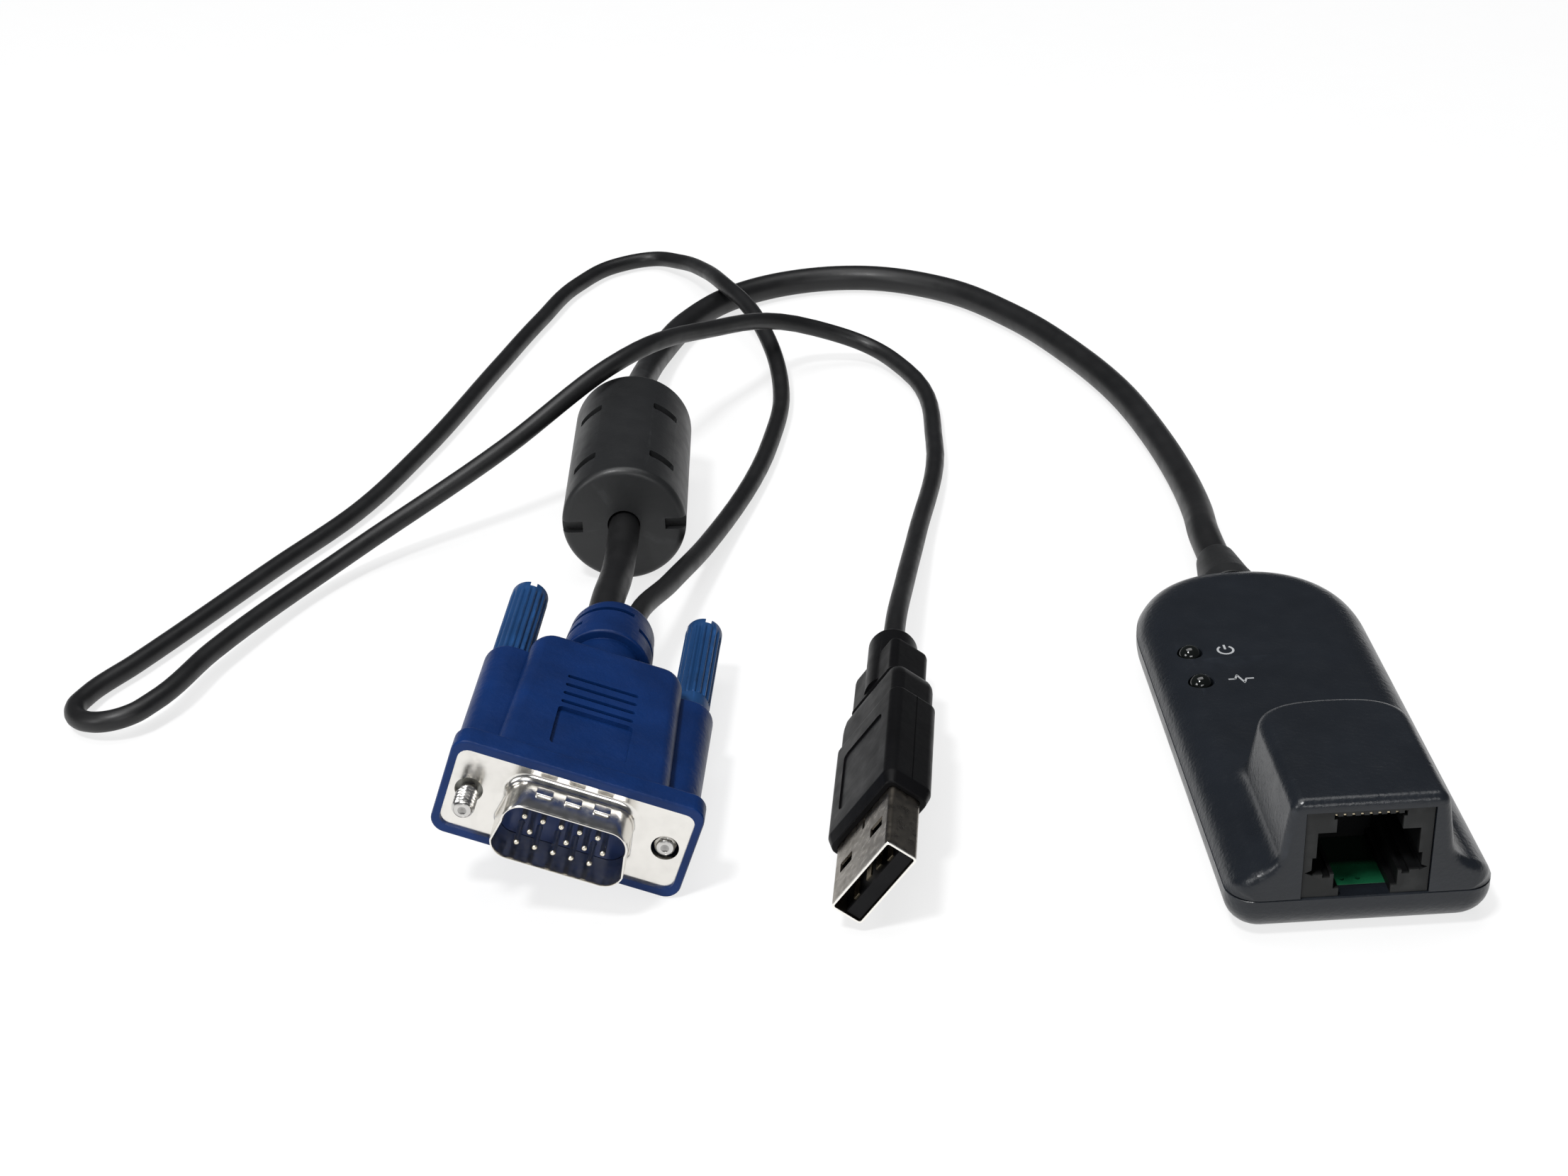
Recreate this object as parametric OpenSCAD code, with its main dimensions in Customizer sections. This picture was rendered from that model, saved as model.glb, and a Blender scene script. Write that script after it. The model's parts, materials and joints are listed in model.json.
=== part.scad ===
/* [Housing] */
// Width of the housing across its straight sides
body_w = 32; // [30:0.5:38]
// Length of the housing from the socket face to the tip of its round tail
body_l = 77.5; // [74:0.5:90]
// Height of the line where the two shells meet
parting_z = 5.5; // [5:0.1:6]
// Height of the flat deck
deck_z = 9.5; // [9.2:0.1:11]
// Radius of the edge along the bottom
bottom_round = 4.4; // [3:0.1:4.8]
// Radius of the edge along the deck, whose arc the parting line cuts short
deck_round = 5.5; // [4.5:0.1:6.5]
// Radius of the two corners beside the socket, seen from above
corner_r = 3.6; // [3:0.1:4.5]
// Length of the round tail
tail_l = 17.6; // [16:0.2:22]
// Radius of the edge between the deck and the socket face
brow_round = 1.2; // [0.6:0.1:1.8]
// Thickness of the floor and of the roof
wall = 1.6; // [1.2:0.1:1.8]
// Thickness of the side walls
side_wall = 2.4; // [2:0.1:3]

/* [Socket tower] */
// Height of the tower over the socket
tower_z = 19.2; // [18.8:0.1:21]
// Width of the tower just under its top edge
tower_w = 18.4; // [17.8:0.1:20]
// Length of the tower, back from the socket face
tower_l = 23; // [22:0.5:28]
// How far each side of the tower leans out from top to deck
tower_lean = 1.5; // [0.8:0.1:2]
// Radius of the hollow fillet between the tower and the deck
tower_fillet = 2.2; // [1.5:0.1:2.5]
// Radius of the tower's top edge
tower_round = 1.4; // [0.8:0.1:1.6]

/* [Network socket] */
// Width of the socket block
jack_w = 15; // [14.6:0.1:15.6]
// Height of the socket block above the board
jack_h = 11.9; // [11.4:0.1:12.2]
// Length of the socket block
jack_l = 17; // [16:0.5:20]
// Width of the opening for the plug
plug_w = 12.1; // [11.9:0.1:12.4]
// Height of the opening for the plug
plug_h = 5.9; // [5.6:0.1:6.4]
// Depth of the opening for the plug
plug_deep = 13; // [12:0.5:14]

/* [Lamps] */
// Diameter of each lamp
led_d = 3; // [3:0.1:3.2]
// Distance of the lamps from the side of the housing
led_inset = 5.2; // [4.5:0.1:6.5]
// Distance of the rear lamp from the tail of the housing
led_back = 25.75; // [23.75:0.5:28.75]
// Distance between the two lamps
led_pitch = 7.7; // [6:0.1:9]

/* [Cables] */
// Diameter of the thick lead from the housing
lead_d = 4.8; // [4.4:0.1:5]
// Diameter of the thin lead to the flat plug
thin_d = 3; // [2.8:0.1:3.2]
// Length of the tapered strain relief outside the housing
relief_l = 8.5; // [7:0.5:9.5]

/* [Choke] */
// Diameter of the choke's cover
choke_d = 19; // [18:0.5:19]
// Length of the choke's cover
choke_l = 36; // [32:1:37]

/* [Video plug] */
// Width of the frame round the plug's metal flange
frame_w = 32; // [31.5:0.5:33]
// Height of that frame
frame_h = 14; // [13.5:0.5:15]
// Width of the plug's hood at its front
hood_w = 22.2; // [21:0.2:22.6]
// Thickness of the hood at its front
hood_t = 13; // [12.4:0.2:13.4]
// Length from the flange to the back of the hood
hood_l = 31.3; // [30:0.5:33]
// Distance between the two thumbscrews
screw_pitch = 24.99; // [24.5:0.01:25.5]
// Diameter of the screw thread
thread_d = 2.84; // [2.6:0.02:3]
// Diameter of the thumbscrew knobs
knob_d = 5.2; // [5:0.1:5.4]
// How far each thumbscrew slides
screw_travel = 4.5; // [3:0.5:5]
// How far the metal shroud stands out of the flange
shroud_l = 5.9; // [5.5:0.1:6.2]

/* [Flat plug] */
// Width of the metal shell
usb_w = 12; // [11.8:0.1:12.2]
// Thickness of the metal shell
usb_t = 4.5; // [4.3:0.1:4.6]
// Length of metal shell that shows
usb_l = 12; // [11:0.5:13]
// Width of the moulded grip
grip_w = 14.2; // [13.6:0.2:16]
// Thickness of the moulded grip
grip_t = 7; // [6.6:0.2:8]
// Length of the moulded grip without its neck
grip_l = 29.5; // [27:0.5:34]

/* [Hidden] */

// How far every cut runs past the face that it opens
overrun = 1;
// Gap left round a piece that is dropped into its place
fit = 0.1;
// Gap left round a shaft that turns and slides, and round what only has to stay clear
running = 0.08;
loose = 0.2;
// Facets of the balls that round a hull
ball_fn = 24;
// Facets of a true circle
round_fn = 48;

// Housing: places worked out from its sizes
face_y = -body_l / 2;
tail_y = body_l / 2;
tail_cy = tail_y - tail_l;
roof_z = deck_z - wall;
// Share of a corner's radius that is lost where the edge is drawn in the most
corner_share = 0.75;
// Power that squares the tail's outline, from 1 for an ellipse down to 0.5
tail_square_share = 0.85;
corner_steps = 4;
tail_steps = 24;
// Steps in the rounding of an edge
edge_steps = 6;
// Thickness of the end walls and the flat inner face of the tail wall
front_wall = 1.6;
tail_wall = 3.6;
// Raised lip of the bottom shell that locates the top shell
lip_t = 0.9;
lip_h = 0.8;

// Tower: the round end of its outline
tower_tail = 6;
// Power that squares the round end, from 1 for an ellipse down to 0.5
tower_square_share = 0.75;
tower_steps = 14;
tower_front_round = 1;

// Board and what stands on it
board_t = 1.6;
board_gap = 0.4;
board_top = parting_z;
board_front = face_y + 2.2;
relief_seat_y = tail_y - tail_wall;
board_tail_gap = 5.15;
board_back = relief_seat_y - board_tail_gap;
test_hole_r = 0.3;
test_hole_y = board_front + 1.4;
test_hole_xs = [-1.8, 0.1];

// Screws that hold the shells together
shell_screw_inset = 6.5;
shell_screw_back = 14.75;
shell_screw_x = body_w / 2 - shell_screw_inset;
shell_screw_y = tail_y - shell_screw_back;
shell_screw_r = 1;
shell_head_r = 1.9;
shell_head_h = 1.2;
shell_head_sink = 1.9;
boss_r = 2.6;
boss_hole_r = 1.15;
post_r = 2.3;
post_hole_deep = 1.6;
rail_inset = 3.6;
rail_x = body_w / 2 - rail_inset;
rail_w = 1;
rail_l = 40;

// Socket block
jack_front = face_y + 0.3;
jack_back = jack_front + jack_l;
jack_top = board_top + jack_h;
plug_low = board_top + 3.2;
plug_high = plug_low + plug_h;
ledge_w = plug_w + 0.9;
ledge_h = 2.4;
comb_w = 7.8;
comb_high = jack_top - 0.6;
latch_w = 7.6;
latch_low_w = 6.2;
latch_step_z = board_top + 1.1;
latch_deep = 12;
contact_count = 8;
contact_pitch = 1.02;
contact_w = 0.42;
contact_t = 0.3;
contact_run = 9.5;
contact_angle = 12;
contact_front = jack_front + 1.6;
contact_leg = 0.6;

// Chips and other parts on the board: sizes
main_chip_x = 3;
main_chip_w = 12;
chip_t = 1.4;
chip_off = 0.1;
lead_count = 11;
lead_pitch = 0.95;
lead_w = 0.35;
lead_reach = 1;
lead_t = 0.2;
video_chip_w = 7;
video_chip_t = 0.9;
video_chip_off_post = 0.2;
memory_chip_x = 3.5;
memory_chip_w = 5;
memory_chip_l = 4;
memory_lead_count = 4;
crystal_x = -7.5;
crystal_w = 3.2;
crystal_l = 5;
crystal_t = 1.1;
capacitor_x = -9;
capacitor_w = 1.2;
capacitor_l = 2;
capacitor_t = 1;
capacitor_pitch = 2.6;
capacitor_count = 5;
header_w = 12;
header_l = 4;
header_t = 2.1;
header_y = board_back - header_l / 2;
header_wall = 0.6;
wire_count = 6;
wire_pitch = 1.3;
wire_r = 0.45;

// Where they stand: in a row from the socket to the header, with these gaps. The gaps grow or
// shrink together with the room that the board gives.
board_gaps = [4.95, 2, 0.5, 4, 2];
board_room = header_y - header_l / 2 - jack_back - capacitor_l - memory_chip_l - crystal_l
    - main_chip_w - video_chip_w - 4 * lead_reach;
gap_share = board_room / (board_gaps * [1, 1, 1, 1, 1]);
capacitor_at = [capacitor_x, jack_back + board_gaps[0] * gap_share + capacitor_l / 2];
memory_chip_at = [memory_chip_x, capacitor_at[1] + (capacitor_l + memory_chip_l) / 2];
crystal_at = [crystal_x,
    memory_chip_at[1] + (memory_chip_l + crystal_l) / 2 + board_gaps[1] * gap_share];
main_chip_at = [main_chip_x,
    crystal_at[1] + crystal_l / 2 + board_gaps[2] * gap_share + lead_reach + main_chip_w / 2];
video_chip_at = [post_r + video_chip_off_post - shell_screw_x + video_chip_w / 2,
    main_chip_at[1] + (main_chip_w + video_chip_w) / 2 + 2 * lead_reach + board_gaps[3] * gap_share];

// Lamps
led_x = led_inset - body_w / 2;
led_y = tail_y - led_back;
led_flange = 0.3;
led_flange_h = 0.7;
led_rise = 0.9;
led_tip = deck_z + led_rise;
led_hole_gap = 0.2;

// Strain relief of the housing
relief_z = (wall + roof_z) / 2;
relief_r = 4.2;
relief_tip_r = 2.9;
relief_neck_r = 2.6;
relief_flange_r = 4.8;
relief_flange_t = 1;
relief_step_y = relief_seat_y + 1.2;
relief_flat = (roof_z - wall) / 2 - fit;

// Choke
choke_x = -87.8;
choke_y = 78.2;
choke_yaw = -2;
choke_r = choke_d / 2;
choke_wall = 1.5;
choke_end = 2;
choke_rim = 1.2;
choke_slot_l = 4.2;
choke_slot_w = 1.2;
choke_slot_shares = [-0.29, 0.2];
choke_slot_turns = [40, 140, 220, 320];
choke_notch_w = 3.2;
choke_notch_h = 1.8;
choke_notch_deep = 1.4;
lead_hole_r = lead_d / 2 + fit;

// Video plug: local Y runs from the flange back along the cable
vga_roll = 19.9;
vga_yaw = -6.2;
frame_r = 2;
vga_x = -94.2;
vga_y = -21.8;
vga_z = (frame_w / 2 - frame_r) * sin(vga_roll) + (frame_h / 2 - frame_r) * cos(vga_roll) + frame_r;
frame_back = 3.2;
frame_lip = 0.4;
flange_w = 30.8;
flange_h = 12.5;
flange_r = 1.4;
flange_t = 0.8;
flange_show_w = 30;
flange_show_h = 11.6;
hood_back_w = hood_w - 1.4;
hood_back_t = hood_t - 0.8;
// Radius of the hood's upright corners and of its long edges
hood_round = 3;
hood_edge = 1.2;
wing_out = frame_w / 2 - 0.3;
wing_in = hood_w / 2 - 3;
wing_t = 8.2;
wing_r = 3.2;
wing_l = 28.5;
groove_w = 9.5;
groove_count = 4;
groove_pitch = 2.05;
groove_y = 15.5;
groove_t = 0.55;
recess_w = 9.8;
recess_y = 5.4;
recess_l = 8.8;
recess_deep = 0.6;
boot_neck_r = 5;
boot_ring_r = 6.3;
boot_tip_r = 5;
boot_ring_y = hood_l + 4.2;
boot_ring_l = 4;
boot_gap_l = 1.3;
boot_l = 14;
boot_end_y = hood_l + boot_l;
boot_crown_r = 2;
lead_port_x = -1.9;
thin_port_x = 2.5;

// Metal shroud of the video plug, whose wide side lies underneath
shroud_h = 8.3;
shroud_r = 2.6;
shroud_low_x = 5.85;
shroud_slant = 10;
shroud_high_x = shroud_low_x - (shroud_h - 2 * shroud_r) * tan(shroud_slant);
shroud_t = 0.4;
shroud_flare = 0.9;
shroud_steps = 5;
dimple_xs = [-3.6, 0, 3.6];
dimple_w = 1.6;
dimple_l = 1.1;
dimple_y = 2.3;
dimple_rise = 0.25;
screw_hole_r = 1.75;

// Pins of the video plug
pin_r = 0.38;
pin_tip = 5.1;
pin_pitch = 2.29;
pin_row = 1.98;
pin_shift = pin_pitch / 4;
pin_back = 5;
pin_per_row = 5;
insulator_front = 0.6;
insulator_back = 6.5;
insulator_w = 18;
insulator_h = 8.6;

// Thumbscrews
screw_out = 4.6;
thread_l = 4.1;
// Distance from the thread's tip back to the ring that keeps the screw in the hood
collar_at = 6.3;
neck_r = 1.05;
collar_r = 2.1;
collar_t = 1;
chamber_r = 2.3;
chamber_back = 7.6;
knob_grip_l = 19.8;
knob_in_l = 5.6;
knob_l = knob_grip_l + knob_in_l;
knob_front = wing_l - knob_in_l + loose;
socket_deep = knob_in_l + loose;
flute_count = 16;
flute_deep = 0.28;
knob_slot_w = 0.9;
knob_slot_deep = 1.3;
shank_deep = 12;

// Flat plug: local Y runs from its mouth back along the cable
usb_roll = -54;
usb_yaw = -7.3;
usb_x = -57.6;
usb_y = -33;
grip_r = 1.4;
usb_z = (grip_w / 2 - grip_r) * abs(sin(usb_roll)) + (grip_t / 2 - grip_r) * cos(usb_roll) + grip_r;
usb_wall = 0.3;
usb_r = 0.6;
usb_tuck = 6;
window_w = 2.5;
window_l = 2;
window_x = 3.2;
window_y = 5.16;
tongue_gap = 0.12;
tongue_t = 1.9;
tongue_front = 0.4;
tongue_block = 5.5;
usb_contact_w = 1;
usb_contact_t = 0.12;
usb_contact_l = 9;
usb_contact_xs = [-3.5, -1, 1, 3.5];
usb_contact_front = 1.2;
usb_contact_step = 1;
grip_steps = 5;
grip_bevel = 1;
grip_band_l = 2;
grip_step_l = 21.5;
grip_step_in = 0.6;
grip_shoulder_l = 3.5;
grip_waist_w = grip_w - grip_step_in;
grip_waist_t = grip_t - grip_step_in;
grip_back_y = usb_l + grip_l;
grip_neck_w = 10;
grip_neck_t = 6.4;
grip_neck_r = 1;
grip_neck_l = 8.5;
grip_neck_y = grip_back_y + grip_neck_l;
collar_end_r = 3.4;
collar_end_l = 6;
grip_end_y = grip_neck_y + collar_end_l;

// Straight stretch at each end of a lead, as a share of its diameter
straight_share = 1.8;
lead_out = lead_d * straight_share;
thin_out = thin_d * straight_share;

// Where the two leads leave the video plug, the choke and the flat plug
lead_port = vga_point([lead_port_x, boot_end_y, 0]);
lead_port_out = vga_point([lead_port_x, boot_end_y + lead_out, 0]);
thin_port = vga_point([thin_port_x, boot_end_y, 0]);
thin_port_out = vga_point([thin_port_x, boot_end_y + thin_out, 0]);
usb_port = usb_point([0, grip_end_y, 0]);
usb_port_out = usb_point([0, grip_end_y + thin_out, 0]);
relief_end = [0, tail_y + relief_l, relief_z];
relief_out = [0, tail_y + relief_l + lead_out, relief_z];
choke_near = choke_point([0, -choke_l / 2 - lead_out, 0]);
choke_middle = choke_point([0, 0, 0]);
choke_far = choke_point([0, choke_l / 2 + lead_out, 0]);

// Routes of the two leads, chosen by hand
lead_route = [
    relief_end, relief_out, [1, 66, 3.6], [1.2, 82, 2.6], [-0.2, 98, 2.5], [-3, 115, 2.5],
    [-8.5, 133, 2.5], [-17, 152, 2.5], [-28.5, 167.5, 2.5], [-43, 175.5, 2.5], [-57.5, 175, 2.5],
    [-69.5, 168.5, 2.5], [-78, 157, 2.5], [-83, 143, 3], [-86, 128, 4.6], [-87, 114, 7.2],
    choke_far, choke_middle, choke_near, [-89.2, 42, 10.6], lead_port_out, lead_port
];
thin_route = [
    thin_port, thin_port_out, [-81.5, 45, 7.4], [-76, 63, 4], [-70, 85, 1.8], [-64.5, 104, 1.6],
    [-61.8, 123, 1.7], [-62.6, 140, 3.6], [-65.6, 155, 6.6], [-70.6, 169.5, 7], [-77.2, 185, 3.6],
    [-86, 193.5, 1.6], [-94.5, 187.5, 1.6], [-101.5, 174.5, 1.6], [-109, 155, 1.6],
    [-116.2, 132, 1.6], [-124, 108, 1.6], [-133, 85.5, 1.6], [-143.5, 68, 1.6],
    [-153.5, 50.5, 1.6], [-160, 40, 1.6], [-164, 33, 1.6], [-165.6, 27.5, 1.9],
    [-163.8, 22.6, 2.6], [-159, 22.4, 3.4], [-154.8, 28, 3.6], [-148.6, 39.5, 3.2],
    [-141, 53.5, 2.8], [-131, 67.5, 4], [-119.5, 76.7, 8], [-107.5, 82.6, 13.2],
    [-98.4, 88.2, 17.9], [-90.6, 94.6, 21], [-82.6, 106, 20.2], [-74.5, 119.5, 16.4],
    [-65, 132, 11.8], [-54.8, 140, 7.2], [-45.5, 139.5, 3.6], [-39, 130, 1.8],
    [-36.2, 115.7, 1.6], [-36.9, 100, 1.6], [-39.8, 81.5, 2.2], [-43.4, 63, 3.6],
    [-46.8, 45, 5.6], usb_port_out, usb_port
];
lead_sides = 10;
thin_sides = 8;

// Point of the video plug, the flat plug or the choke, moved to its place in the whole part
function turned(p, roll, yaw) =
    let (a = [p[0] * cos(roll) + p[2] * sin(roll), p[1], p[2] * cos(roll) - p[0] * sin(roll)])
    [a[0] * cos(yaw) - a[1] * sin(yaw), a[0] * sin(yaw) + a[1] * cos(yaw), a[2]];
function vga_point(p) = turned(p, vga_roll, vga_yaw) + [vga_x, vga_y, vga_z];
function usb_point(p) = turned(p, usb_roll, usb_yaw) + [usb_x, usb_y, usb_z];
function choke_point(p) = turned(p, 0, choke_yaw) + [choke_x, choke_y, choke_r];

// Smooth curve through points, which runs straight at both ends
function before(p, i) = i > 0 ? p[i - 1] : 2 * p[0] - p[1];
function after(p, i) = i < len(p) ? p[i] : 2 * p[len(p) - 1] - p[len(p) - 2];
function on_curve(p, i, t) =
    let (a = before(p, i), b = p[i], c = p[i + 1], d = after(p, i + 2))
    (2 * b + (c - a) * t + (2 * a - 5 * b + 4 * c - d) * t * t + (3 * b - a - 3 * c + d) * t * t * t) / 2;
function curve(p, steps) = concat(
    [for (i = [0 : len(p) - 2]) for (s = [0 : steps - 1]) on_curve(p, i, s / steps)],
    [p[len(p) - 1]]);
function unit(v) = v / norm(v);
function along(p, i) = unit(p[min(i + 1, len(p) - 1)] - p[max(i - 1, 0)]);
function cord_ring(at, dir, r, sides) =
    let (side = unit(cross(dir, [0, 0, 1])), up = cross(side, dir))
    [for (k = [0 : sides - 1]) at + r * (cos(360 * k / sides) * up + sin(360 * k / sides) * side)];
function cord_rings(p, r, sides) = [for (i = [0 : len(p) - 1]) cord_ring(p[i], along(p, i), r, sides)];

// How far an edge of radius r, which ends at height top, is drawn in at height z
function drawn_in(r, top, z) = z <= top - r ? 0 : r - sqrt(max(0, r * r - pow(z - top + r, 2)));

// Cosine or sine, squared up by a power
function squared(v, power) = sign(v) * pow(abs(v), power);

// Outline of the housing at height z, drawn in at the sides and at the front
function body_ring(side_in, front_in, z) =
    let (
        hw = body_w / 2 - side_in,
        fy = face_y + front_in,
        r = corner_r * (1 - corner_share * min(side_in, front_in) / bottom_round)
    )
    concat(
        [for (i = [0 : corner_steps]) let (a = 180 + 90 * i / corner_steps)
            [-hw + r + r * cos(a), fy + r + r * sin(a), z]],
        [for (i = [0 : corner_steps]) let (a = 270 + 90 * i / corner_steps)
            [hw - r + r * cos(a), fy + r + r * sin(a), z]],
        [for (i = [0 : tail_steps]) let (a = 180 * i / tail_steps)
            [hw * squared(cos(a), tail_square_share),
                tail_cy + (tail_l - side_in) * squared(sin(a), tail_square_share), z]]
    );

// Outline of the tower at height z, grown outwards by grow
function tower_ring(grow, front_in, z) =
    let (hw = tower_w / 2 + grow, cy = face_y + tower_l - tower_tail, fy = face_y + front_in)
    concat(
        [[-hw, fy, z], [hw, fy, z]],
        [for (i = [0 : tower_steps]) let (a = 180 * i / tower_steps)
            [hw * squared(cos(a), tower_square_share),
                cy + (tower_tail + grow) * squared(sin(a), tower_square_share), z]]
    );
function lean_at(z) = tower_lean * (tower_z - z) / (tower_z - deck_z);

// Outline of the metal shroud at depth y, made smaller by inset
function shroud_arc(x, z, r, from, to, y) =
    [for (i = [0 : shroud_steps]) let (a = from + (to - from) * i / shroud_steps)
        [x + r * cos(a), y, z + r * sin(a)]];
function shroud_ring(inset, y) =
    let (
        r = shroud_r - inset,
        low = -shroud_h / 2 + shroud_r,
        high = shroud_h / 2 - shroud_r
    )
    concat(
        shroud_arc(shroud_low_x, low, r, 270, 360 - shroud_slant, y),
        shroud_arc(shroud_high_x, high, r, -shroud_slant, 90, y),
        shroud_arc(-shroud_high_x, high, r, 90, 180 + shroud_slant, y),
        shroud_arc(-shroud_low_x, low, r, 180 + shroud_slant, 270, y)
    );

// Solid through a stack of outlines with equal numbers of points
module loft(rings) {
    n = len(rings[0]);
    m = len(rings);
    polyhedron(
        points = [for (ring = rings) for (p = ring) p],
        faces = concat(
            [[for (j = [0 : n - 1]) j]],
            [for (i = [0 : m - 2]) for (j = [0 : n - 1]) let (k = (j + 1) % n)
                [i * n + j, (i + 1) * n + j, (i + 1) * n + k, i * n + k]],
            [[for (j = [0 : n - 1]) m * n - 1 - j]]
        )
    );
}

// Rectangle with round corners, centred
module rounded(w, h, r) {
    square([w - 2 * r, h], center = true);
    square([w, h - 2 * r], center = true);
    for (x = [-1, 1]) for (y = [-1, 1])
        translate([x * (w / 2 - r), y * (h / 2 - r)]) circle(r, $fn = round_fn);
}

// Plate with its outline in X and Z, from depth y0 back to depth y1
module upright(y0, y1) {
    translate([0, y1, 0]) rotate([90, 0, 0]) linear_extrude(y1 - y0) children();
}

// Round bar along Y
module bar(r, y0, y1) {
    translate([0, y0, 0]) rotate([-90, 0, 0]) cylinder(h = y1 - y0, r = r, $fn = round_fn);
}

// Plan of the room inside the housing, drawn in from the outer outline by inset
module inner_plan(inset) {
    intersection() {
        polygon([for (p = body_ring(inset, front_wall, 0)) [p[0], p[1]]]);
        translate([-body_w / 2, face_y])
            square([body_w, relief_seat_y - face_y - inset + side_wall]);
    }
}

module vga_place() {
    translate([vga_x, vga_y, vga_z]) rotate([0, vga_roll, vga_yaw]) children();
}

module usb_place() {
    translate([usb_x, usb_y, usb_z]) rotate([0, usb_roll, usb_yaw]) children();
}

module choke_place() {
    translate([choke_x, choke_y, choke_r]) rotate([0, 0, choke_yaw]) children();
}

// Hole that the strain relief's neck and root fill, through both shells
module relief_hole() {
    translate([0, 0, relief_z]) {
        bar(relief_neck_r + fit, relief_seat_y - overrun, relief_step_y + overrun);
        bar(relief_r + fit, relief_step_y, tail_y + overrun);
    }
}

module socket_hole() {
    translate([-jack_w / 2 - fit, face_y - overrun, parting_z - overrun])
        cube([jack_w + 2 * fit, jack_l + overrun + wall, jack_h + overrun + 2 * fit]);
}

module top_shell() {
    color([0.12, 0.13, 0.15]) difference() {
        union() {
            loft([
                for (i = [0 : edge_steps])
                    let (z = parting_z + (deck_z - parting_z) * sin(90 * i / edge_steps))
                    body_ring(drawn_in(deck_round, deck_z, z) - drawn_in(deck_round, deck_z, parting_z),
                        drawn_in(brow_round, deck_z, z), z)
            ]);
            loft(concat(
                [tower_ring(tower_lean + tower_fillet, 0, deck_z - wall / 2)],
                [for (i = [0 : edge_steps]) let (
                    a = 90 * i / edge_steps,
                    z = deck_z + tower_fillet * (1 - cos(a)))
                    tower_ring(lean_at(z) + tower_fillet * (1 - sin(a)), 0, z)],
                [for (i = [0 : edge_steps - 1]) let (
                    a = 90 * i / (edge_steps - 1),
                    z = tower_z - tower_round * (1 - sin(a)))
                    tower_ring(lean_at(z) - tower_round * (1 - cos(a)),
                        tower_front_round * (1 - cos(a)), z)]
            ));
        }
        difference() {
            translate([0, 0, parting_z - overrun])
                linear_extrude(roof_z - parting_z + overrun) inner_plan(side_wall);
            for (x = [-1, 1]) translate([x * shell_screw_x, shell_screw_y, board_top])
                cylinder(h = deck_z - board_top, r = post_r, $fn = round_fn);
        }
        translate([0, 0, parting_z - overrun])
            linear_extrude(lip_h + fit + overrun) inner_plan(side_wall - lip_t - fit);
        for (x = [-1, 1]) translate([x * shell_screw_x, shell_screw_y, board_top - overrun])
            cylinder(h = post_hole_deep + overrun, r = shell_screw_r + fit / 2, $fn = round_fn);
        for (y = [led_y, led_y - led_pitch]) translate([led_x, y, roof_z - overrun])
            cylinder(h = wall + 2 * overrun, r = led_d / 2 + led_hole_gap, $fn = round_fn);
        socket_hole();
        relief_hole();
    }
}

module bottom_shell() {
    color([0.11, 0.12, 0.14]) difference() {
        union() {
            difference() {
                loft([
                    for (i = [0 : edge_steps + 1])
                        let (
                            a = 90 * min(i, edge_steps) / edge_steps,
                            in = bottom_round * (1 - sin(a)),
                            z = i > edge_steps ? parting_z : bottom_round * (1 - cos(a)))
                        body_ring(in, in, z)
                ]);
                translate([0, 0, wall]) linear_extrude(parting_z) inner_plan(side_wall);
            }
            difference() {
                translate([0, 0, wall]) linear_extrude(parting_z + lip_h - wall)
                    inner_plan(side_wall - lip_t);
                translate([0, 0, wall - overrun]) linear_extrude(parting_z + lip_h + 2 * overrun)
                    inner_plan(side_wall);
                translate([-body_w / 2, face_y, parting_z])
                    cube([body_w, jack_l + front_wall, lip_h + overrun]);
            }
            for (x = [-1, 1]) {
                translate([x * shell_screw_x, shell_screw_y, wall / 2])
                    cylinder(h = board_top - board_t - wall / 2, r = boss_r, $fn = round_fn);
                translate([x * rail_x - rail_w / 2, -rail_l / 2 - rail_w, wall / 2])
                    cube([rail_w, rail_l, board_top - board_t - wall / 2]);
            }
        }
        for (x = [-1, 1]) translate([x * shell_screw_x, shell_screw_y, -overrun]) {
            cylinder(h = shell_head_sink + overrun, r = shell_head_r + fit, $fn = round_fn);
            cylinder(h = parting_z, r = boss_hole_r, $fn = round_fn);
        }
        relief_hole();
    }
}

module shell_screws() {
    color([0.55, 0.55, 0.57])
        for (x = [-1, 1]) translate([x * shell_screw_x, shell_screw_y, shell_head_sink]) {
            difference() {
                translate([0, 0, -shell_head_h])
                    cylinder(h = shell_head_h, r = shell_head_r, $fn = round_fn);
                for (turn = [0, 90]) rotate([0, 0, turn])
                    translate([-shell_head_r / 2, -shell_screw_r / 4, -shell_head_h - overrun])
                        cube([shell_head_r, shell_screw_r / 2, shell_head_h / 2 + overrun]);
            }
            cylinder(h = board_top + post_hole_deep - fit - shell_head_sink, r = shell_screw_r,
                $fn = round_fn);
        }
}

module circuit_board() {
    color([0.05, 0.3, 0.18]) difference() {
        translate([0, 0, board_top - board_t]) linear_extrude(board_t) intersection() {
            inner_plan(side_wall + board_gap);
            translate([-body_w / 2, board_front]) square([body_w, board_back - board_front]);
        }
        for (x = [-1, 1]) translate([x * shell_screw_x, shell_screw_y, 0])
            cylinder(h = deck_z, r = boss_hole_r, $fn = round_fn);
        for (x = test_hole_xs) translate([x, test_hole_y, 0])
            cylinder(h = deck_z, r = test_hole_r, $fn = round_fn);
    }
}

// Flat chip with a row of legs on two or four sides, standing on the board
module legged_chip(w, l, count, sides) {
    translate([-w / 2, -l / 2, chip_off]) cube([w, l, chip_t - chip_off]);
    for (turn = [0 : 360 / sides : 359]) rotate([0, 0, turn])
        for (i = [0 : count - 1])
            translate([w / 2 - lead_reach / 4, (i - (count - 1) / 2) * lead_pitch - lead_w / 2, 0])
                cube([lead_reach, lead_w, lead_t]);
}

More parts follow.
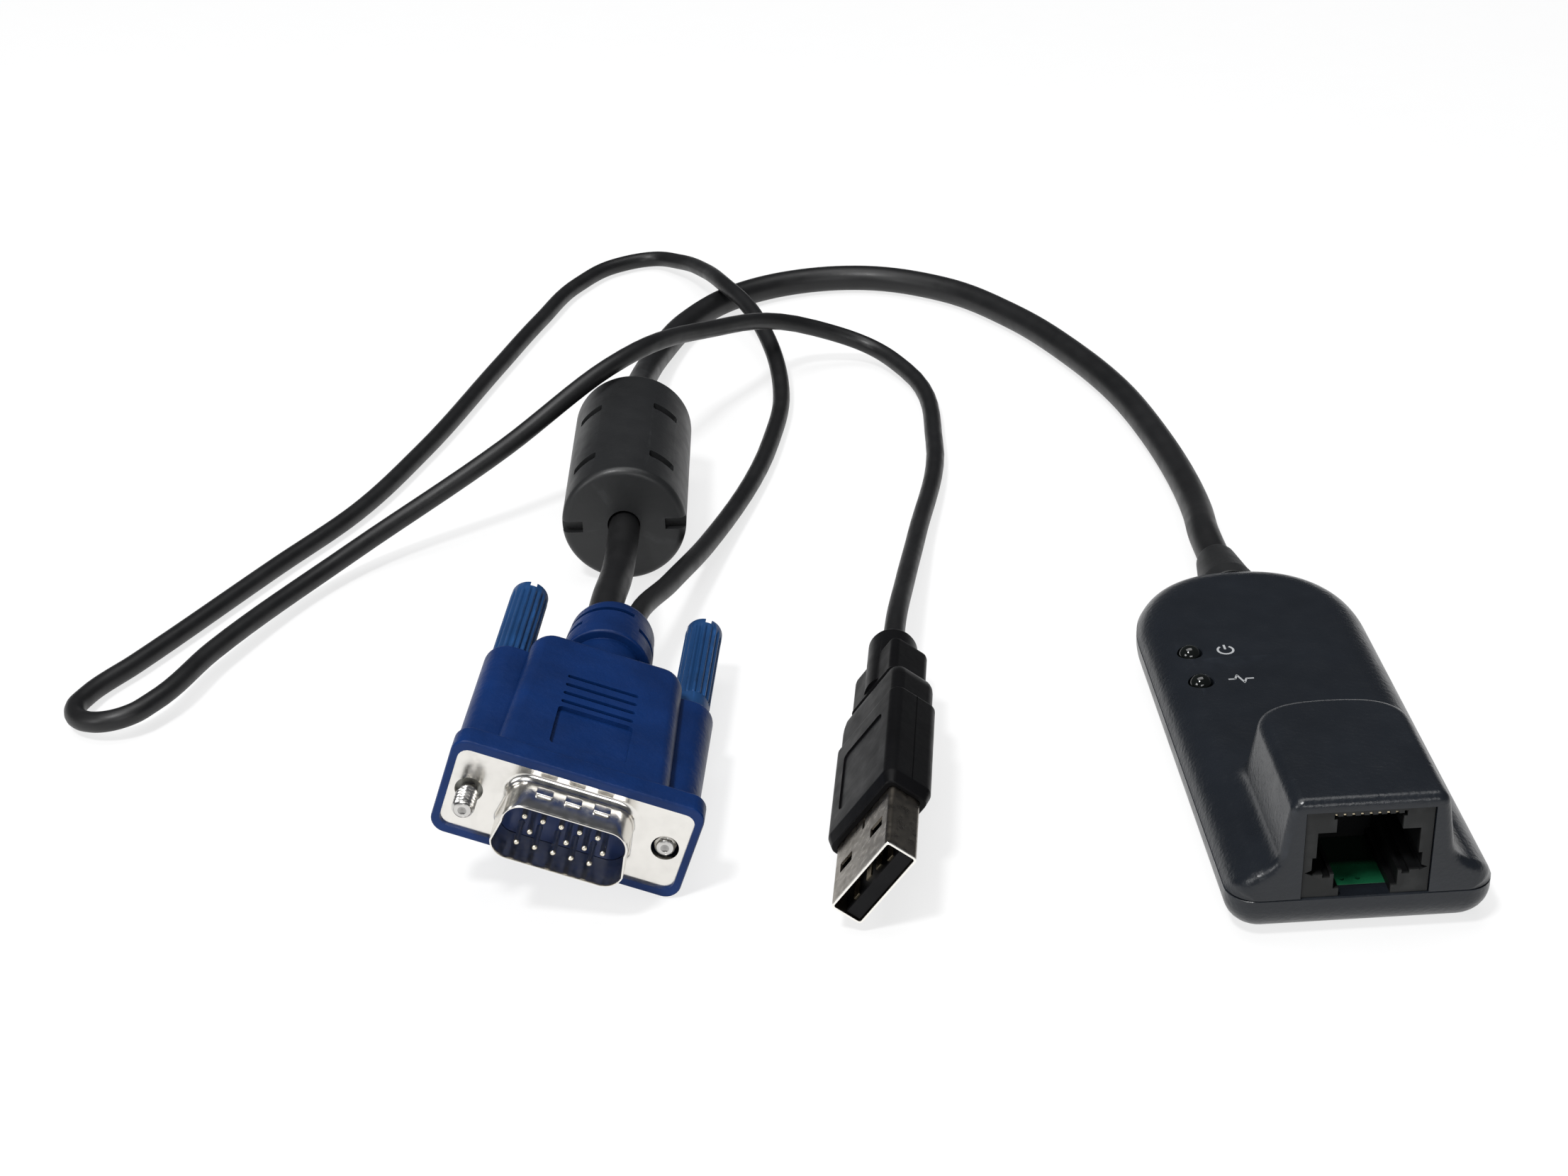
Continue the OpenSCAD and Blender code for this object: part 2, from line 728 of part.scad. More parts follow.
module main_chip() {
    color([0.06, 0.06, 0.07]) translate([main_chip_at[0], main_chip_at[1], board_top])
        legged_chip(main_chip_w, main_chip_w, lead_count, 4);
}

module memory_chip() {
    color([0.07, 0.07, 0.08]) translate([memory_chip_at[0], memory_chip_at[1], board_top])
        legged_chip(memory_chip_w, memory_chip_l, memory_lead_count, 2);
}

module video_chip() {
    color([0.08, 0.08, 0.09]) translate([video_chip_at[0], video_chip_at[1], board_top])
        translate([-video_chip_w / 2, -video_chip_w / 2, 0])
            cube([video_chip_w, video_chip_w, video_chip_t]);
}

module crystal() {
    color([0.7, 0.7, 0.72]) translate([crystal_at[0], crystal_at[1], board_top])
        linear_extrude(crystal_t) rounded(crystal_w, crystal_l, crystal_w / 8);
}

module capacitors() {
    color([0.6, 0.5, 0.35]) for (i = [0 : capacitor_count - 1])
        translate([capacitor_at[0] + i * capacitor_pitch, capacitor_at[1] - capacitor_l / 2, board_top])
            cube([capacitor_w, capacitor_l, capacitor_t]);
}

module cable_header() {
    color([0.85, 0.84, 0.78]) difference() {
        translate([-header_w / 2, header_y - header_l / 2, board_top]) cube([header_w, header_l, header_t]);
        translate([-header_w / 2 + header_wall, header_y, board_top + header_wall])
            cube([header_w - 2 * header_wall, header_l, header_t]);
    }
}

module inner_wires() {
    color([0.5, 0.15, 0.12]) for (i = [0 : wire_count - 1])
        translate([(i - (wire_count - 1) / 2) * wire_pitch, 0, board_top + header_wall + wire_r])
            bar(wire_r, header_y, relief_seat_y - relief_flange_t);
}

module jack_body() {
    color([0.16, 0.17, 0.18]) difference() {
        translate([-jack_w / 2, jack_front, board_top]) cube([jack_w, jack_l, jack_h]);
        translate([-plug_w / 2, jack_front - overrun, plug_low])
            cube([plug_w, plug_deep + overrun, plug_h]);
        translate([-ledge_w / 2, jack_front - overrun, plug_low])
            cube([ledge_w, plug_deep + overrun, ledge_h]);
        translate([-comb_w / 2, jack_front - overrun, plug_high - overrun])
            cube([comb_w, plug_deep + overrun, comb_high - plug_high + overrun]);
        translate([-latch_w / 2, jack_front - overrun, latch_step_z])
            cube([latch_w, latch_deep + overrun, plug_low - latch_step_z + overrun]);
        translate([-latch_low_w / 2, jack_front - overrun, board_top - overrun])
            cube([latch_low_w, latch_deep + overrun, latch_step_z - board_top + 2 * overrun]);
    }
}

module jack_contacts() {
    color([0.8, 0.62, 0.25]) for (i = [0 : contact_count - 1])
        translate([(i - (contact_count - 1) / 2) * contact_pitch - contact_w / 2, contact_front, 0]) {
            translate([0, 0, comb_high - contact_leg]) cube([contact_w, contact_t, contact_leg]);
            translate([0, 0, comb_high - contact_leg]) rotate([-contact_angle, 0, 0])
                translate([0, 0, -contact_t]) cube([contact_w, contact_run, contact_t]);
            translate([0, 0, comb_high - contact_leg - contact_t]) cube([contact_w, contact_t, contact_t]);
        }
}

// Lamp that stands on the board and shows its dome through the deck
module led() {
    cylinder(h = led_flange_h, r = led_d / 2 + led_flange, $fn = round_fn);
    cylinder(h = led_tip - board_top - led_d / 2, r = led_d / 2, $fn = round_fn);
    translate([0, 0, led_tip - board_top - led_d / 2]) sphere(led_d / 2, $fn = round_fn);
}

module power_led() {
    color([0.1, 0.14, 0.1]) translate([led_x, led_y, board_top]) led();
}

module active_led() {
    color([0.12, 0.12, 0.1]) translate([led_x, led_y - led_pitch, board_top]) led();
}

module strain_relief() {
    color([0.13, 0.14, 0.15]) translate([0, 0, relief_z]) {
        intersection() {
            bar(relief_flange_r, relief_seat_y - relief_flange_t, relief_seat_y);
            translate([-body_w / 2, 0, -relief_flat]) cube([body_w, body_l, 2 * relief_flat]);
        }
        bar(relief_neck_r, relief_seat_y, relief_step_y);
        bar(relief_r, relief_step_y, tail_y);
        translate([0, tail_y, 0]) rotate([-90, 0, 0])
            cylinder(h = relief_l, r1 = relief_r, r2 = relief_tip_r, $fn = round_fn);
    }
}

module module_lead() {
    color([0.1, 0.1, 0.1]) loft(cord_rings(curve(lead_route, 1), lead_d / 2, lead_sides));
}

module usb_lead() {
    color([0.1, 0.1, 0.1]) loft(cord_rings(curve(thin_route, 1), thin_d / 2, thin_sides));
}

module choke_cover() {
    color([0.14, 0.14, 0.14]) choke_place() difference() {
        translate([0, -choke_l / 2, 0]) rotate([-90, 0, 0]) rotate_extrude($fn = 2 * round_fn) {
            translate([0, choke_rim]) square([choke_r, choke_l - 2 * choke_rim]);
            square([choke_r - choke_rim, choke_l]);
            for (y = [choke_rim, choke_l - choke_rim]) intersection() {
                translate([choke_r - choke_rim, y]) circle(choke_rim, $fn = round_fn);
                square([choke_r, choke_l]);
            }
        }
        bar(choke_r - choke_wall, -choke_l / 2 + choke_end, choke_l / 2 - choke_end);
        bar(lead_hole_r, -choke_l / 2 - overrun, choke_l / 2 + overrun);
        for (share = choke_slot_shares) for (turn = choke_slot_turns)
            rotate([0, turn, 0])
                translate([-choke_slot_l / 2, share * choke_l - choke_slot_w / 2,
                    choke_r - choke_wall - fit])
                    cube([choke_slot_l, choke_slot_w, choke_wall + overrun]);
        for (x = [-1, 1]) for (y = [-1, 1])
            translate([x * choke_r - choke_notch_w * (x + 1) / 2 - overrun * (1 - x) / 2,
                y * (choke_l - choke_notch_deep) / 2 - choke_notch_deep / 2 - overrun * (1 - y) / 2,
                -choke_notch_h / 2])
                cube([choke_notch_w + overrun, choke_notch_deep + overrun, choke_notch_h]);
    }
}

module ferrite_core() {
    color([0.25, 0.25, 0.26]) choke_place() difference() {
        bar(choke_r - choke_wall - fit, -choke_l / 2 + choke_end + fit, choke_l / 2 - choke_end - fit);
        bar(lead_hole_r, -choke_l / 2, choke_l / 2);
    }
}

// Raised boot at the back of the video plug, as a round profile along the cable
module boot() {
    bar(boot_neck_r, hood_l - hood_round, boot_end_y - boot_crown_r);
    bar(boot_ring_r, boot_ring_y, boot_ring_y + boot_ring_l);
    translate([0, boot_end_y, 0]) rotate([90, 0, 0]) rotate_extrude($fn = round_fn) {
        square([boot_tip_r, boot_crown_r]);
        translate([0, boot_crown_r]) square([boot_ring_r - boot_crown_r / 4,
            boot_end_y - boot_ring_y - boot_ring_l - boot_gap_l - boot_crown_r]);
        translate([boot_tip_r - boot_crown_r / 4, boot_crown_r]) intersection() {
            circle(boot_crown_r - boot_crown_r / 4, $fn = round_fn);
            translate([0, -boot_crown_r]) square(boot_crown_r);
        }
    }
}

// One upright corner of the hood, with its two ends drawn in
module hood_corner(t) {
    cylinder(h = t - 2 * hood_edge, r = hood_round, center = true, $fn = ball_fn);
    cylinder(h = t - hood_edge / 2, r = hood_round - hood_edge / 2, center = true, $fn = ball_fn);
    cylinder(h = t, r = hood_round - hood_edge, center = true, $fn = ball_fn);
}

module vga_hood() {
    color([0.07, 0.16, 0.4]) vga_place() difference() {
        union() {
            upright(-frame_lip, frame_back) rounded(frame_w, frame_h, frame_r);
            hull() for (x = [-1, 1]) {
                translate([x * (hood_w / 2 - hood_round), frame_back, 0]) hood_corner(hood_t);
                translate([x * (hood_back_w / 2 - hood_round), hood_l - hood_round, 0])
                    hood_corner(hood_back_t);
            }
            for (side = [-1, 1]) translate([side * (wing_out + wing_in) / 2, 0, 0])
                upright(frame_back / 2, wing_l) rounded(wing_out - wing_in, wing_t, wing_r);
            boot();
        }
        upright(-frame_lip - overrun, overrun / 2) rounded(flange_show_w, flange_show_h, flange_r);
        upright(0, flange_t + fit) rounded(flange_w + 2 * fit, flange_h + 2 * fit, flange_r);
        translate([-insulator_w / 2 - fit, 0, -insulator_h / 2 - fit])
            cube([insulator_w + 2 * fit, insulator_back + fit, insulator_h + 2 * fit]);
        for (side = [-1, 1]) {
            translate([side * screw_pitch / 2, 0, 0]) {
                bar(neck_r + running, 0, wing_l);
                bar(chamber_r, 0, chamber_back);
                bar(knob_d / 2 + loose, wing_l - socket_deep, hood_l + overrun);
            }
            for (i = [0 : groove_count - 1])
                translate([-groove_w / 2, groove_y + i * groove_pitch - groove_t / 2,
                    side * hood_t / 2 - recess_deep]) cube([groove_w, groove_t, 2 * recess_deep]);
            translate([-recess_w / 2, recess_y, side * hood_t / 2 - recess_deep])
                cube([recess_w, recess_l, 2 * recess_deep]);
        }
    }
}

module vga_shell() {
    color([0.8, 0.8, 0.78]) vga_place() difference() {
        union() {
            upright(0, flange_t) rounded(flange_w, flange_h, flange_r);
            loft(concat(
                [shroud_ring(-shroud_flare, flange_t / 2)],
                [for (i = [0 : shroud_steps]) let (a = 90 * i / shroud_steps)
                    shroud_ring(-shroud_flare * (1 - sin(a)), -shroud_flare * (1 - cos(a)))],
                [shroud_ring(0, -shroud_l)]
            ));
            for (x = dimple_xs) for (z = [-1, 1])
                translate([x - dimple_w / 2, -dimple_y - dimple_l / 2, z * (shroud_h / 2) - dimple_rise])
                    cube([dimple_w, dimple_l, 2 * dimple_rise]);
        }
        loft([shroud_ring(shroud_t, flange_t + overrun), shroud_ring(shroud_t, -shroud_l - overrun)]);
        for (side = [-1, 1]) translate([side * screw_pitch / 2, 0, 0])
            bar(screw_hole_r, -overrun, flange_t + overrun);
    }
}

// Places of the pins, where the wide row is nearest the floor and the middle row lacks one
function pin_places() = [
    for (row = [-1 : 1]) for (i = [0 : pin_per_row - 1])
        if (!(row == 0 && i == 1))
            [(i - (pin_per_row - 1) / 2) * pin_pitch + (row == 0 ? pin_shift : -pin_shift), row * pin_row]
];

module vga_insulator() {
    color([0.05, 0.2, 0.5]) vga_place() difference() {
        union() {
            loft([
                shroud_ring(shroud_t + fit / 2, flange_t),
                shroud_ring(shroud_t + fit / 2, -insulator_front)
            ]);
            translate([-insulator_w / 2, flange_t, -insulator_h / 2])
                cube([insulator_w, insulator_back - flange_t, insulator_h]);
        }
        for (p = pin_places()) translate([p[0], 0, p[1]])
            bar(pin_r + fit / 5, -insulator_front - overrun, insulator_back + overrun);
    }
}

module vga_pins() {
    color([0.85, 0.75, 0.45]) vga_place() for (p = pin_places()) translate([p[0], 0, p[1]]) {
        bar(pin_r, -pin_tip + pin_r, pin_back);
        translate([0, -pin_tip + pin_r, 0]) sphere(pin_r, $fn = round_fn);
    }
}

// Ring that is pressed on a thumbscrew's neck and keeps it in the hood
module screw_collar(side, out) {
    vga_place() translate([side * screw_pitch / 2, collar_at - out, 0]) difference() {
        bar(collar_r, 0, collar_t);
        bar(neck_r + running / 2, -overrun, collar_t + overrun);
    }
}

// Steel part of a thumbscrew, whose thread stands out of the flange by out
module screw_bar(side, out) {
    vga_place() translate([side * screw_pitch / 2, -out, 0]) {
        bar(thread_d / 2, 0, thread_l);
        bar(neck_r, thread_l, screw_out + knob_front + shank_deep);
    }
}

// Moulded knob of a thumbscrew, fluted where fingers hold it
module screw_knob(side, out) {
    vga_place() translate([side * screw_pitch / 2, screw_out - out, 0]) difference() {
        union() {
            bar(knob_d / 2 - flute_deep / 2, knob_front, knob_front + knob_in_l);
            upright(knob_front + knob_in_l, knob_front + knob_l) polygon([
                for (i = [0 : 4 * flute_count - 1])
                    let (a = 90 * i / flute_count, r = knob_d / 2 - flute_deep * (i % 4 < 2 ? 0 : 1))
                    [r * cos(a), r * sin(a)]
            ]);
        }
        bar(neck_r + fit / 5, knob_front - overrun, knob_front + shank_deep + fit);
        for (turn = [0, 90]) rotate([0, turn, 0])
            translate([-knob_d, knob_front + knob_l - knob_slot_deep, -knob_slot_w / 2])
                cube([2 * knob_d, knob_slot_deep + overrun, knob_slot_w]);
    }
}

module left_screw_collar() {
    color([0.85, 0.85, 0.8]) screw_collar(-1, screw_out);
}

module left_screw() {
    color([0.75, 0.75, 0.74]) screw_bar(-1, screw_out);
}

module left_knob() {
    color([0.1, 0.25, 0.45]) screw_knob(-1, screw_out);
}

module right_screw_collar() {
    color([0.85, 0.85, 0.8]) screw_collar(1, screw_out - screw_travel);
}

module right_screw() {
    color([0.75, 0.75, 0.74]) screw_bar(1, screw_out - screw_travel);
}

module right_knob() {
    color([0.1, 0.25, 0.45]) screw_knob(1, screw_out - screw_travel);
}

// Outline of the grip at depth y, of width w and thickness t, with corners of radius r
function grip_ring(w, t, r, y) = [
    for (q = [0 : 3]) for (i = [0 : grip_steps])
        let (a = 90 * q + 90 * i / grip_steps, sx = q == 0 || q == 3 ? 1 : -1, sz = q < 2 ? 1 : -1)
        [sx * (w / 2 - r) + r * cos(a), y, sz * (t / 2 - r) + r * sin(a)]
];

module usb_grip() {
    color([0.06, 0.06, 0.06]) usb_place() difference() {
        union() {
            loft([
                grip_ring(grip_neck_w - grip_bevel, grip_neck_t - grip_bevel, grip_neck_r, grip_neck_y),
                grip_ring(grip_neck_w, grip_neck_t, grip_neck_r, grip_neck_y - grip_bevel),
                grip_ring(grip_neck_w, grip_neck_t, grip_neck_r, grip_back_y + grip_bevel / 2),
                grip_ring(grip_waist_w - 2 * grip_r, grip_waist_t - grip_bevel, grip_r, grip_back_y),
                grip_ring(grip_waist_w - grip_bevel, grip_waist_t, grip_r, grip_back_y - grip_r),
                grip_ring(grip_waist_w, grip_waist_t, grip_r, grip_back_y - grip_shoulder_l),
                grip_ring(grip_waist_w, grip_waist_t, grip_r, usb_l + grip_step_l + grip_step_in),
                grip_ring(grip_w, grip_t, grip_r, usb_l + grip_step_l),
                grip_ring(grip_w, grip_t, grip_r, usb_l + grip_band_l),
                grip_ring(grip_w - grip_bevel, grip_t - grip_bevel, grip_r - grip_bevel / 2, usb_l)
            ]);
            bar(collar_end_r, grip_back_y, grip_end_y);
        }
        upright(usb_l - overrun, usb_l + usb_tuck + fit) rounded(usb_w + fit, usb_t + fit, usb_r);
    }
}

module usb_shell() {
    color([0.75, 0.73, 0.7]) usb_place() difference() {
        upright(0, usb_l + usb_tuck) rounded(usb_w, usb_t, usb_r);
        upright(-overrun, usb_l + usb_tuck + overrun)
            rounded(usb_w - 2 * usb_wall, usb_t - 2 * usb_wall, usb_r - usb_wall);
        for (x = [-1, 1]) translate([x * window_x - window_w / 2, window_y, -usb_t])
            cube([window_w, window_l, 2 * usb_t]);
    }
}

module usb_tongue() {
    color([0.08, 0.08, 0.09]) usb_place() {
        translate([-usb_w / 2 + usb_wall + tongue_gap, tongue_front, -usb_t / 2 + usb_wall + tongue_gap])
            cube([usb_w - 2 * usb_wall - 2 * tongue_gap, usb_l + usb_tuck - tongue_front, tongue_t]);
        translate([-usb_w / 2 + usb_wall + tongue_gap, usb_l + usb_tuck - tongue_block,
            -usb_t / 2 + usb_wall + tongue_gap])
            cube([usb_w - 2 * usb_wall - 2 * tongue_gap, tongue_block,
                usb_t - 2 * usb_wall - 2 * tongue_gap]);
    }
}

module usb_contacts() {
    color([0.85, 0.65, 0.25]) usb_place() for (x = usb_contact_xs)
        let (front = usb_contact_front + (abs(x) < usb_w / 8 ? usb_contact_step : 0))
        translate([x - usb_contact_w / 2, front, -usb_t / 2 + usb_wall + tongue_gap + tongue_t])
            cube([usb_contact_w, usb_contact_front + usb_contact_l - front, usb_contact_t]);
}

top_shell();
bottom_shell();
shell_screws();
circuit_board();
main_chip();
video_chip();
memory_chip();
crystal();
capacitors();
cable_header();
inner_wires();
jack_body();
jack_contacts();
power_led();
active_led();
strain_relief();
module_lead();
choke_cover();
ferrite_core();
vga_hood();
vga_shell();
vga_insulator();
vga_pins();
left_screw_collar();
left_screw();
left_knob();
right_screw_collar();
right_screw();
right_knob();
usb_lead();
usb_grip();
usb_shell();
usb_tongue();
usb_contacts();
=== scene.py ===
"""Server interface module: housing with a network socket, two leads, video plug and flat plug."""

import json
import math

import bmesh
import bpy
from mathutils import Matrix, Vector

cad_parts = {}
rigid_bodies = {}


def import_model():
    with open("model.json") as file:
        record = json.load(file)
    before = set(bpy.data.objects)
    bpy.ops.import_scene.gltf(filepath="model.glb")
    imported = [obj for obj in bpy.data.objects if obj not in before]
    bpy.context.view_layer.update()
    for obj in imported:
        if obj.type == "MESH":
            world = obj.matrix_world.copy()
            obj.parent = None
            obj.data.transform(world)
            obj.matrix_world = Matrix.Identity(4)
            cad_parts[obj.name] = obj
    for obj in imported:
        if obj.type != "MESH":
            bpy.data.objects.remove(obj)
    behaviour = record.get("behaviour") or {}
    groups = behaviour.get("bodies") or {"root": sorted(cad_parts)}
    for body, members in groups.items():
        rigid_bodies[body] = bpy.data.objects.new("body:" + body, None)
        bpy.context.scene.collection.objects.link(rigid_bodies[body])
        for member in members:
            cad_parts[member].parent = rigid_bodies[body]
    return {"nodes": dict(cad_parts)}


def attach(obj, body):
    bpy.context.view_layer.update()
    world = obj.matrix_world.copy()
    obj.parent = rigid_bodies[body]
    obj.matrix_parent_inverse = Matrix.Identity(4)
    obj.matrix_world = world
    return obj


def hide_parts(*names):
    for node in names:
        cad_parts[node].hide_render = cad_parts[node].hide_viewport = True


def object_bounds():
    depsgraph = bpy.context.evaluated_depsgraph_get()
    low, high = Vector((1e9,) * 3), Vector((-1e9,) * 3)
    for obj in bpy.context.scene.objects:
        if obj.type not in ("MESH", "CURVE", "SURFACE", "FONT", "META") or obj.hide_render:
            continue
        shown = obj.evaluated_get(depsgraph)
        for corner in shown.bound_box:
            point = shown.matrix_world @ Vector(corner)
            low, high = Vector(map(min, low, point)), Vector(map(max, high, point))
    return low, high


bl_info = {
    "name": "Server interface module",
    "version": (1, 0, 0),
    "blender": (4, 5, 0),
    "location": "View3D > Sidebar > Module",
    "description": "Builds the visual model of a server interface module on its CAD frame",
    "category": "Object",
}

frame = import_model()
cad_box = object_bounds()

MM = 0.001
OVER = 1  # how far a cutter runs past the solid, in millimetres

# Housing, in millimetres
HALF_W = 16
FACE_Y = -38.75
TAIL_Y = 38.75
PARTING_Z = 5.5
DECK_Z = 9.5
DECK_ROUND = 5.5
BOTTOM_ROUND = 4.4
CORNER_R = 3.6
CORNER_SHARE = 0.75
TAIL_L = 17.6
TAIL_SQUARE = 0.85
WALL = 1.6
SIDE_WALL = 2.4
FRONT_WALL = 1.6
ROOF_Z = 7.9
SEAT_Y = 35.15
LIP_T = 0.9
LIP_H = 0.8
LIP_GAP = 0.1
TOWER_Z = 19.2
TOWER_W = 18.4
TOWER_L = 23
TOWER_LEAN = 1.5
TOWER_TAIL = 6
TOWER_SQUARE = 0.75
TOWER_ROUND = 1.4
POST_X = 9.5
POST_Y = 24
POST_R = 2.3
PILOT_R = 1.05
PILOT_DEEP = 1.6
BOSS_R = 2.6
SHANK_R = 1.15
HEAD_R = 2
HEAD_DEEP = 1.9
BOARD_LOW = 3.9
RAIL_X = 12.4
RAIL_T = 1
RAIL_YS = (-21, 19)
LED_X = -10.8
LED_YS = (13, 5.3)
LED_R = 1.5
LED_OUT = 0.9
LED_HOLE_R = LED_R + 0.2
RELIEF_Z = 4.75
RELIEF_R = 4.2
RELIEF_NECK_R = 2.6
RELIEF_GAP = 0.1
RELIEF_STEP_Y = 36.35
RELIEF_END_Y = 47.25
JACK_FRONT = -38.45
JACK_W = 15
JACK_L = 17
JACK_H = 11.9
JACK_ROOM_Y = JACK_FRONT + JACK_L + 1.3
CONTACT_PITCH = 1.02
BOARD_FRONT = FACE_Y + 2.2

# Choke, in millimetres
CHOKE_R = 9.5
CHOKE_L = 36
CHOKE_WALL = 1.5
CHOKE_SLOT_SHARES = (-0.29, 0.2)
CHOKE_SLOT_TURNS = (40, 140, 220, 320)

# Video plug, in millimetres from the middle of its flange
FRAME_W = 32
FRAME_H = 14
FRAME_BACK = 3.2
HOOD_W = 22.2
HOOD_H = 13
HOOD_TAPER_W = 1.4
HOOD_TAPER_H = 0.8
HOOD_L = 31.3
HOOD_BACK_R = 3
WING_L = 28.5
BOOT_R = 6.3
BOOT_FRONT_Y = 35.5
BOOT_END_Y = 45.3
GROOVE_START_Y = 15.5
GROOVE_PITCH = 2.05
SHROUD_L = 5.9
SHROUD_R = 2.6
SHROUD_HALF_H = 4.15
PIN_R = 0.38
PIN_OUT = 5.1
PIN_PITCH = 2.29
PIN_ROW_PITCH = 1.98
SCREW_X = 12.495
SCREW_OUT = 4.6
SCREW_TRAVEL = 4.5
THREAD_R = 1.42
THREAD_L = 4.1
THREAD_PITCH = 0.635
THREAD_DEEP = 0.36
NECK_R = 1.05
NECK_IN_KNOB = 12
KNOB_R = 2.6
KNOB_FRONT = 23.1
KNOB_IN_L = 5.6
KNOB_L = 25.4

# Flat plug, in millimetres from the middle of its mouth
USB_W = 12
USB_T = 4.5
USB_L = 12
USB_TUCK = 6
USB_WALL = 0.3
USB_R = 0.6
GRIP_W = 14.2
GRIP_T = 7
GRIP_BAND_Y = 14
GRIP_STEP_Y = 33.5
GRIP_END_Y = 56


def place(at, roll, yaw):
    """Turns a piece about Y, then about Z, and moves it to its place."""
    return (
        Matrix.Translation(at)
        @ Matrix.Rotation(math.radians(yaw), 4, "Z")
        @ Matrix.Rotation(math.radians(roll), 4, "Y")
    )


VIDEO_ROLL = 19.9
VIDEO_Z = 14 * math.sin(math.radians(VIDEO_ROLL)) + 5 * math.cos(math.radians(VIDEO_ROLL)) + 2
VIDEO = place((-94.2, -21.8, VIDEO_Z), VIDEO_ROLL, -6.2)
USB_ROLL = -54
USB_Z = 5.7 * math.sin(math.radians(-USB_ROLL)) + 2.1 * math.cos(math.radians(USB_ROLL)) + 1.4
FLAT = place((-57.6, -33, USB_Z), USB_ROLL, -7.3)
CHOKE = place((-87.8, 78.2, CHOKE_R), 0, -2)
HERE = Matrix.Identity(4)

LEAD_OUT = 8.64
THIN_OUT = 5.4
LEAD_X = -1.9
THIN_X = 2.5
RELIEF_END = (0, RELIEF_END_Y, RELIEF_Z)
LEAD_PORT, LEAD_PORT_OUT = [VIDEO @ Vector((LEAD_X, BOOT_END_Y + y, 0)) for y in (0, LEAD_OUT)]
THIN_PORT, THIN_PORT_OUT = [VIDEO @ Vector((THIN_X, BOOT_END_Y + y, 0)) for y in (0, THIN_OUT)]
FLAT_PORT, FLAT_PORT_OUT = [FLAT @ Vector((0, GRIP_END_Y + y, 0)) for y in (0, THIN_OUT)]

# Routes of the two leads, in millimetres
LEAD_ROUTE = [
    RELIEF_END, (0, RELIEF_END_Y + LEAD_OUT, RELIEF_Z), (1, 66, 3.6), (1.2, 82, 2.6),
    (-0.2, 98, 2.5), (-3, 115, 2.5), (-8.5, 133, 2.5), (-17, 152, 2.5), (-28.5, 167.5, 2.5),
    (-43, 175.5, 2.5), (-57.5, 175, 2.5), (-69.5, 168.5, 2.5), (-78, 157, 2.5), (-83, 143, 3),
    (-86, 128, 4.6), (-87, 114, 7.2), CHOKE @ Vector((0, CHOKE_L / 2 + LEAD_OUT, 0)),
    CHOKE @ Vector((0, 0, 0)), CHOKE @ Vector((0, -CHOKE_L / 2 - LEAD_OUT, 0)), (-89.2, 42, 10.6),
    LEAD_PORT_OUT, LEAD_PORT,
]
THIN_ROUTE = [
    THIN_PORT, THIN_PORT_OUT, (-81.5, 45, 7.4), (-76, 63, 4), (-64.5, 104, 1.7), (-61.8, 123, 1.9),
    (-62.9, 140, 4.2), (-66.6, 154, 6.6), (-70.4, 163.6, 7), (-74.3, 177, 5.2), (-79.2, 188.3, 3),
    (-84.6, 193.6, 1.9), (-92.6, 191.1, 1.7), (-99.6, 182.2, 1.6), (-106.3, 164.5, 1.6),
    (-113.4, 142, 1.6), (-124, 108, 1.6), (-133, 85.5, 1.6), (-143.5, 68, 1.6), (-160, 40, 1.6),
    (-165.4, 31.4, 1.6), (-166.3, 28.3, 1.7), (-165.5, 25.1, 1.9), (-163.2, 22.9, 2.3),
    (-160, 22.1, 2.8), (-156.9, 23.1, 3.2), (-154.8, 25.4, 3.4), (-148.6, 39.5, 3.2),
    (-131, 67.5, 4), (-107.5, 82.6, 13.2), (-90.6, 94.6, 21), (-74.5, 119.5, 16.4),
    (-54.8, 140, 7.2), (-45.5, 139.5, 3.6), (-39, 130, 2.2), (-36.9, 100, 1.8), (-43.4, 63, 3.6),
    (-46.8, 45, 5.6), FLAT_PORT_OUT, FLAT_PORT,
]
HANDLE_PART = 2.93  # distance to the next point by the length of a curve handle

# Camera, in millimetres, and lights, in metres
CAMERA_AT = (-72.72, -266.42, 175.58)
CAMERA_RIGHT = (0.9982, -0.0460, -0.0378)
CAMERA_FORWARD = (0.0223, 0.8773, -0.4794)
CAMERA_LENS = 55.007
FLOOR_HALF = 4
# Name, place, what it is aimed at, size, watts
LIGHTS = (
    ("overhead", (-0.1, 0.25, 1.1), (-0.07, 0.05, 0), (1, 0.6), 6.5),
    ("key", (-0.4, -0.4, 1.1), (-0.07, 0.03, 0), (0.18, 0.18), 11),
    ("front", (0.1, -1.1, 0.5), (-0.07, 0.03, 0), (0.6, 0.3), 3.2),
    ("left", (-0.9, -0.5, 0.5), (-0.07, 0.03, 0), (0.4, 0.3), 3),
)


def length(name, about, value, low, high, precision=4):
    return bpy.props.FloatProperty(
        name=name, description=about, default=value, min=low, max=high, unit="LENGTH",
        precision=precision)


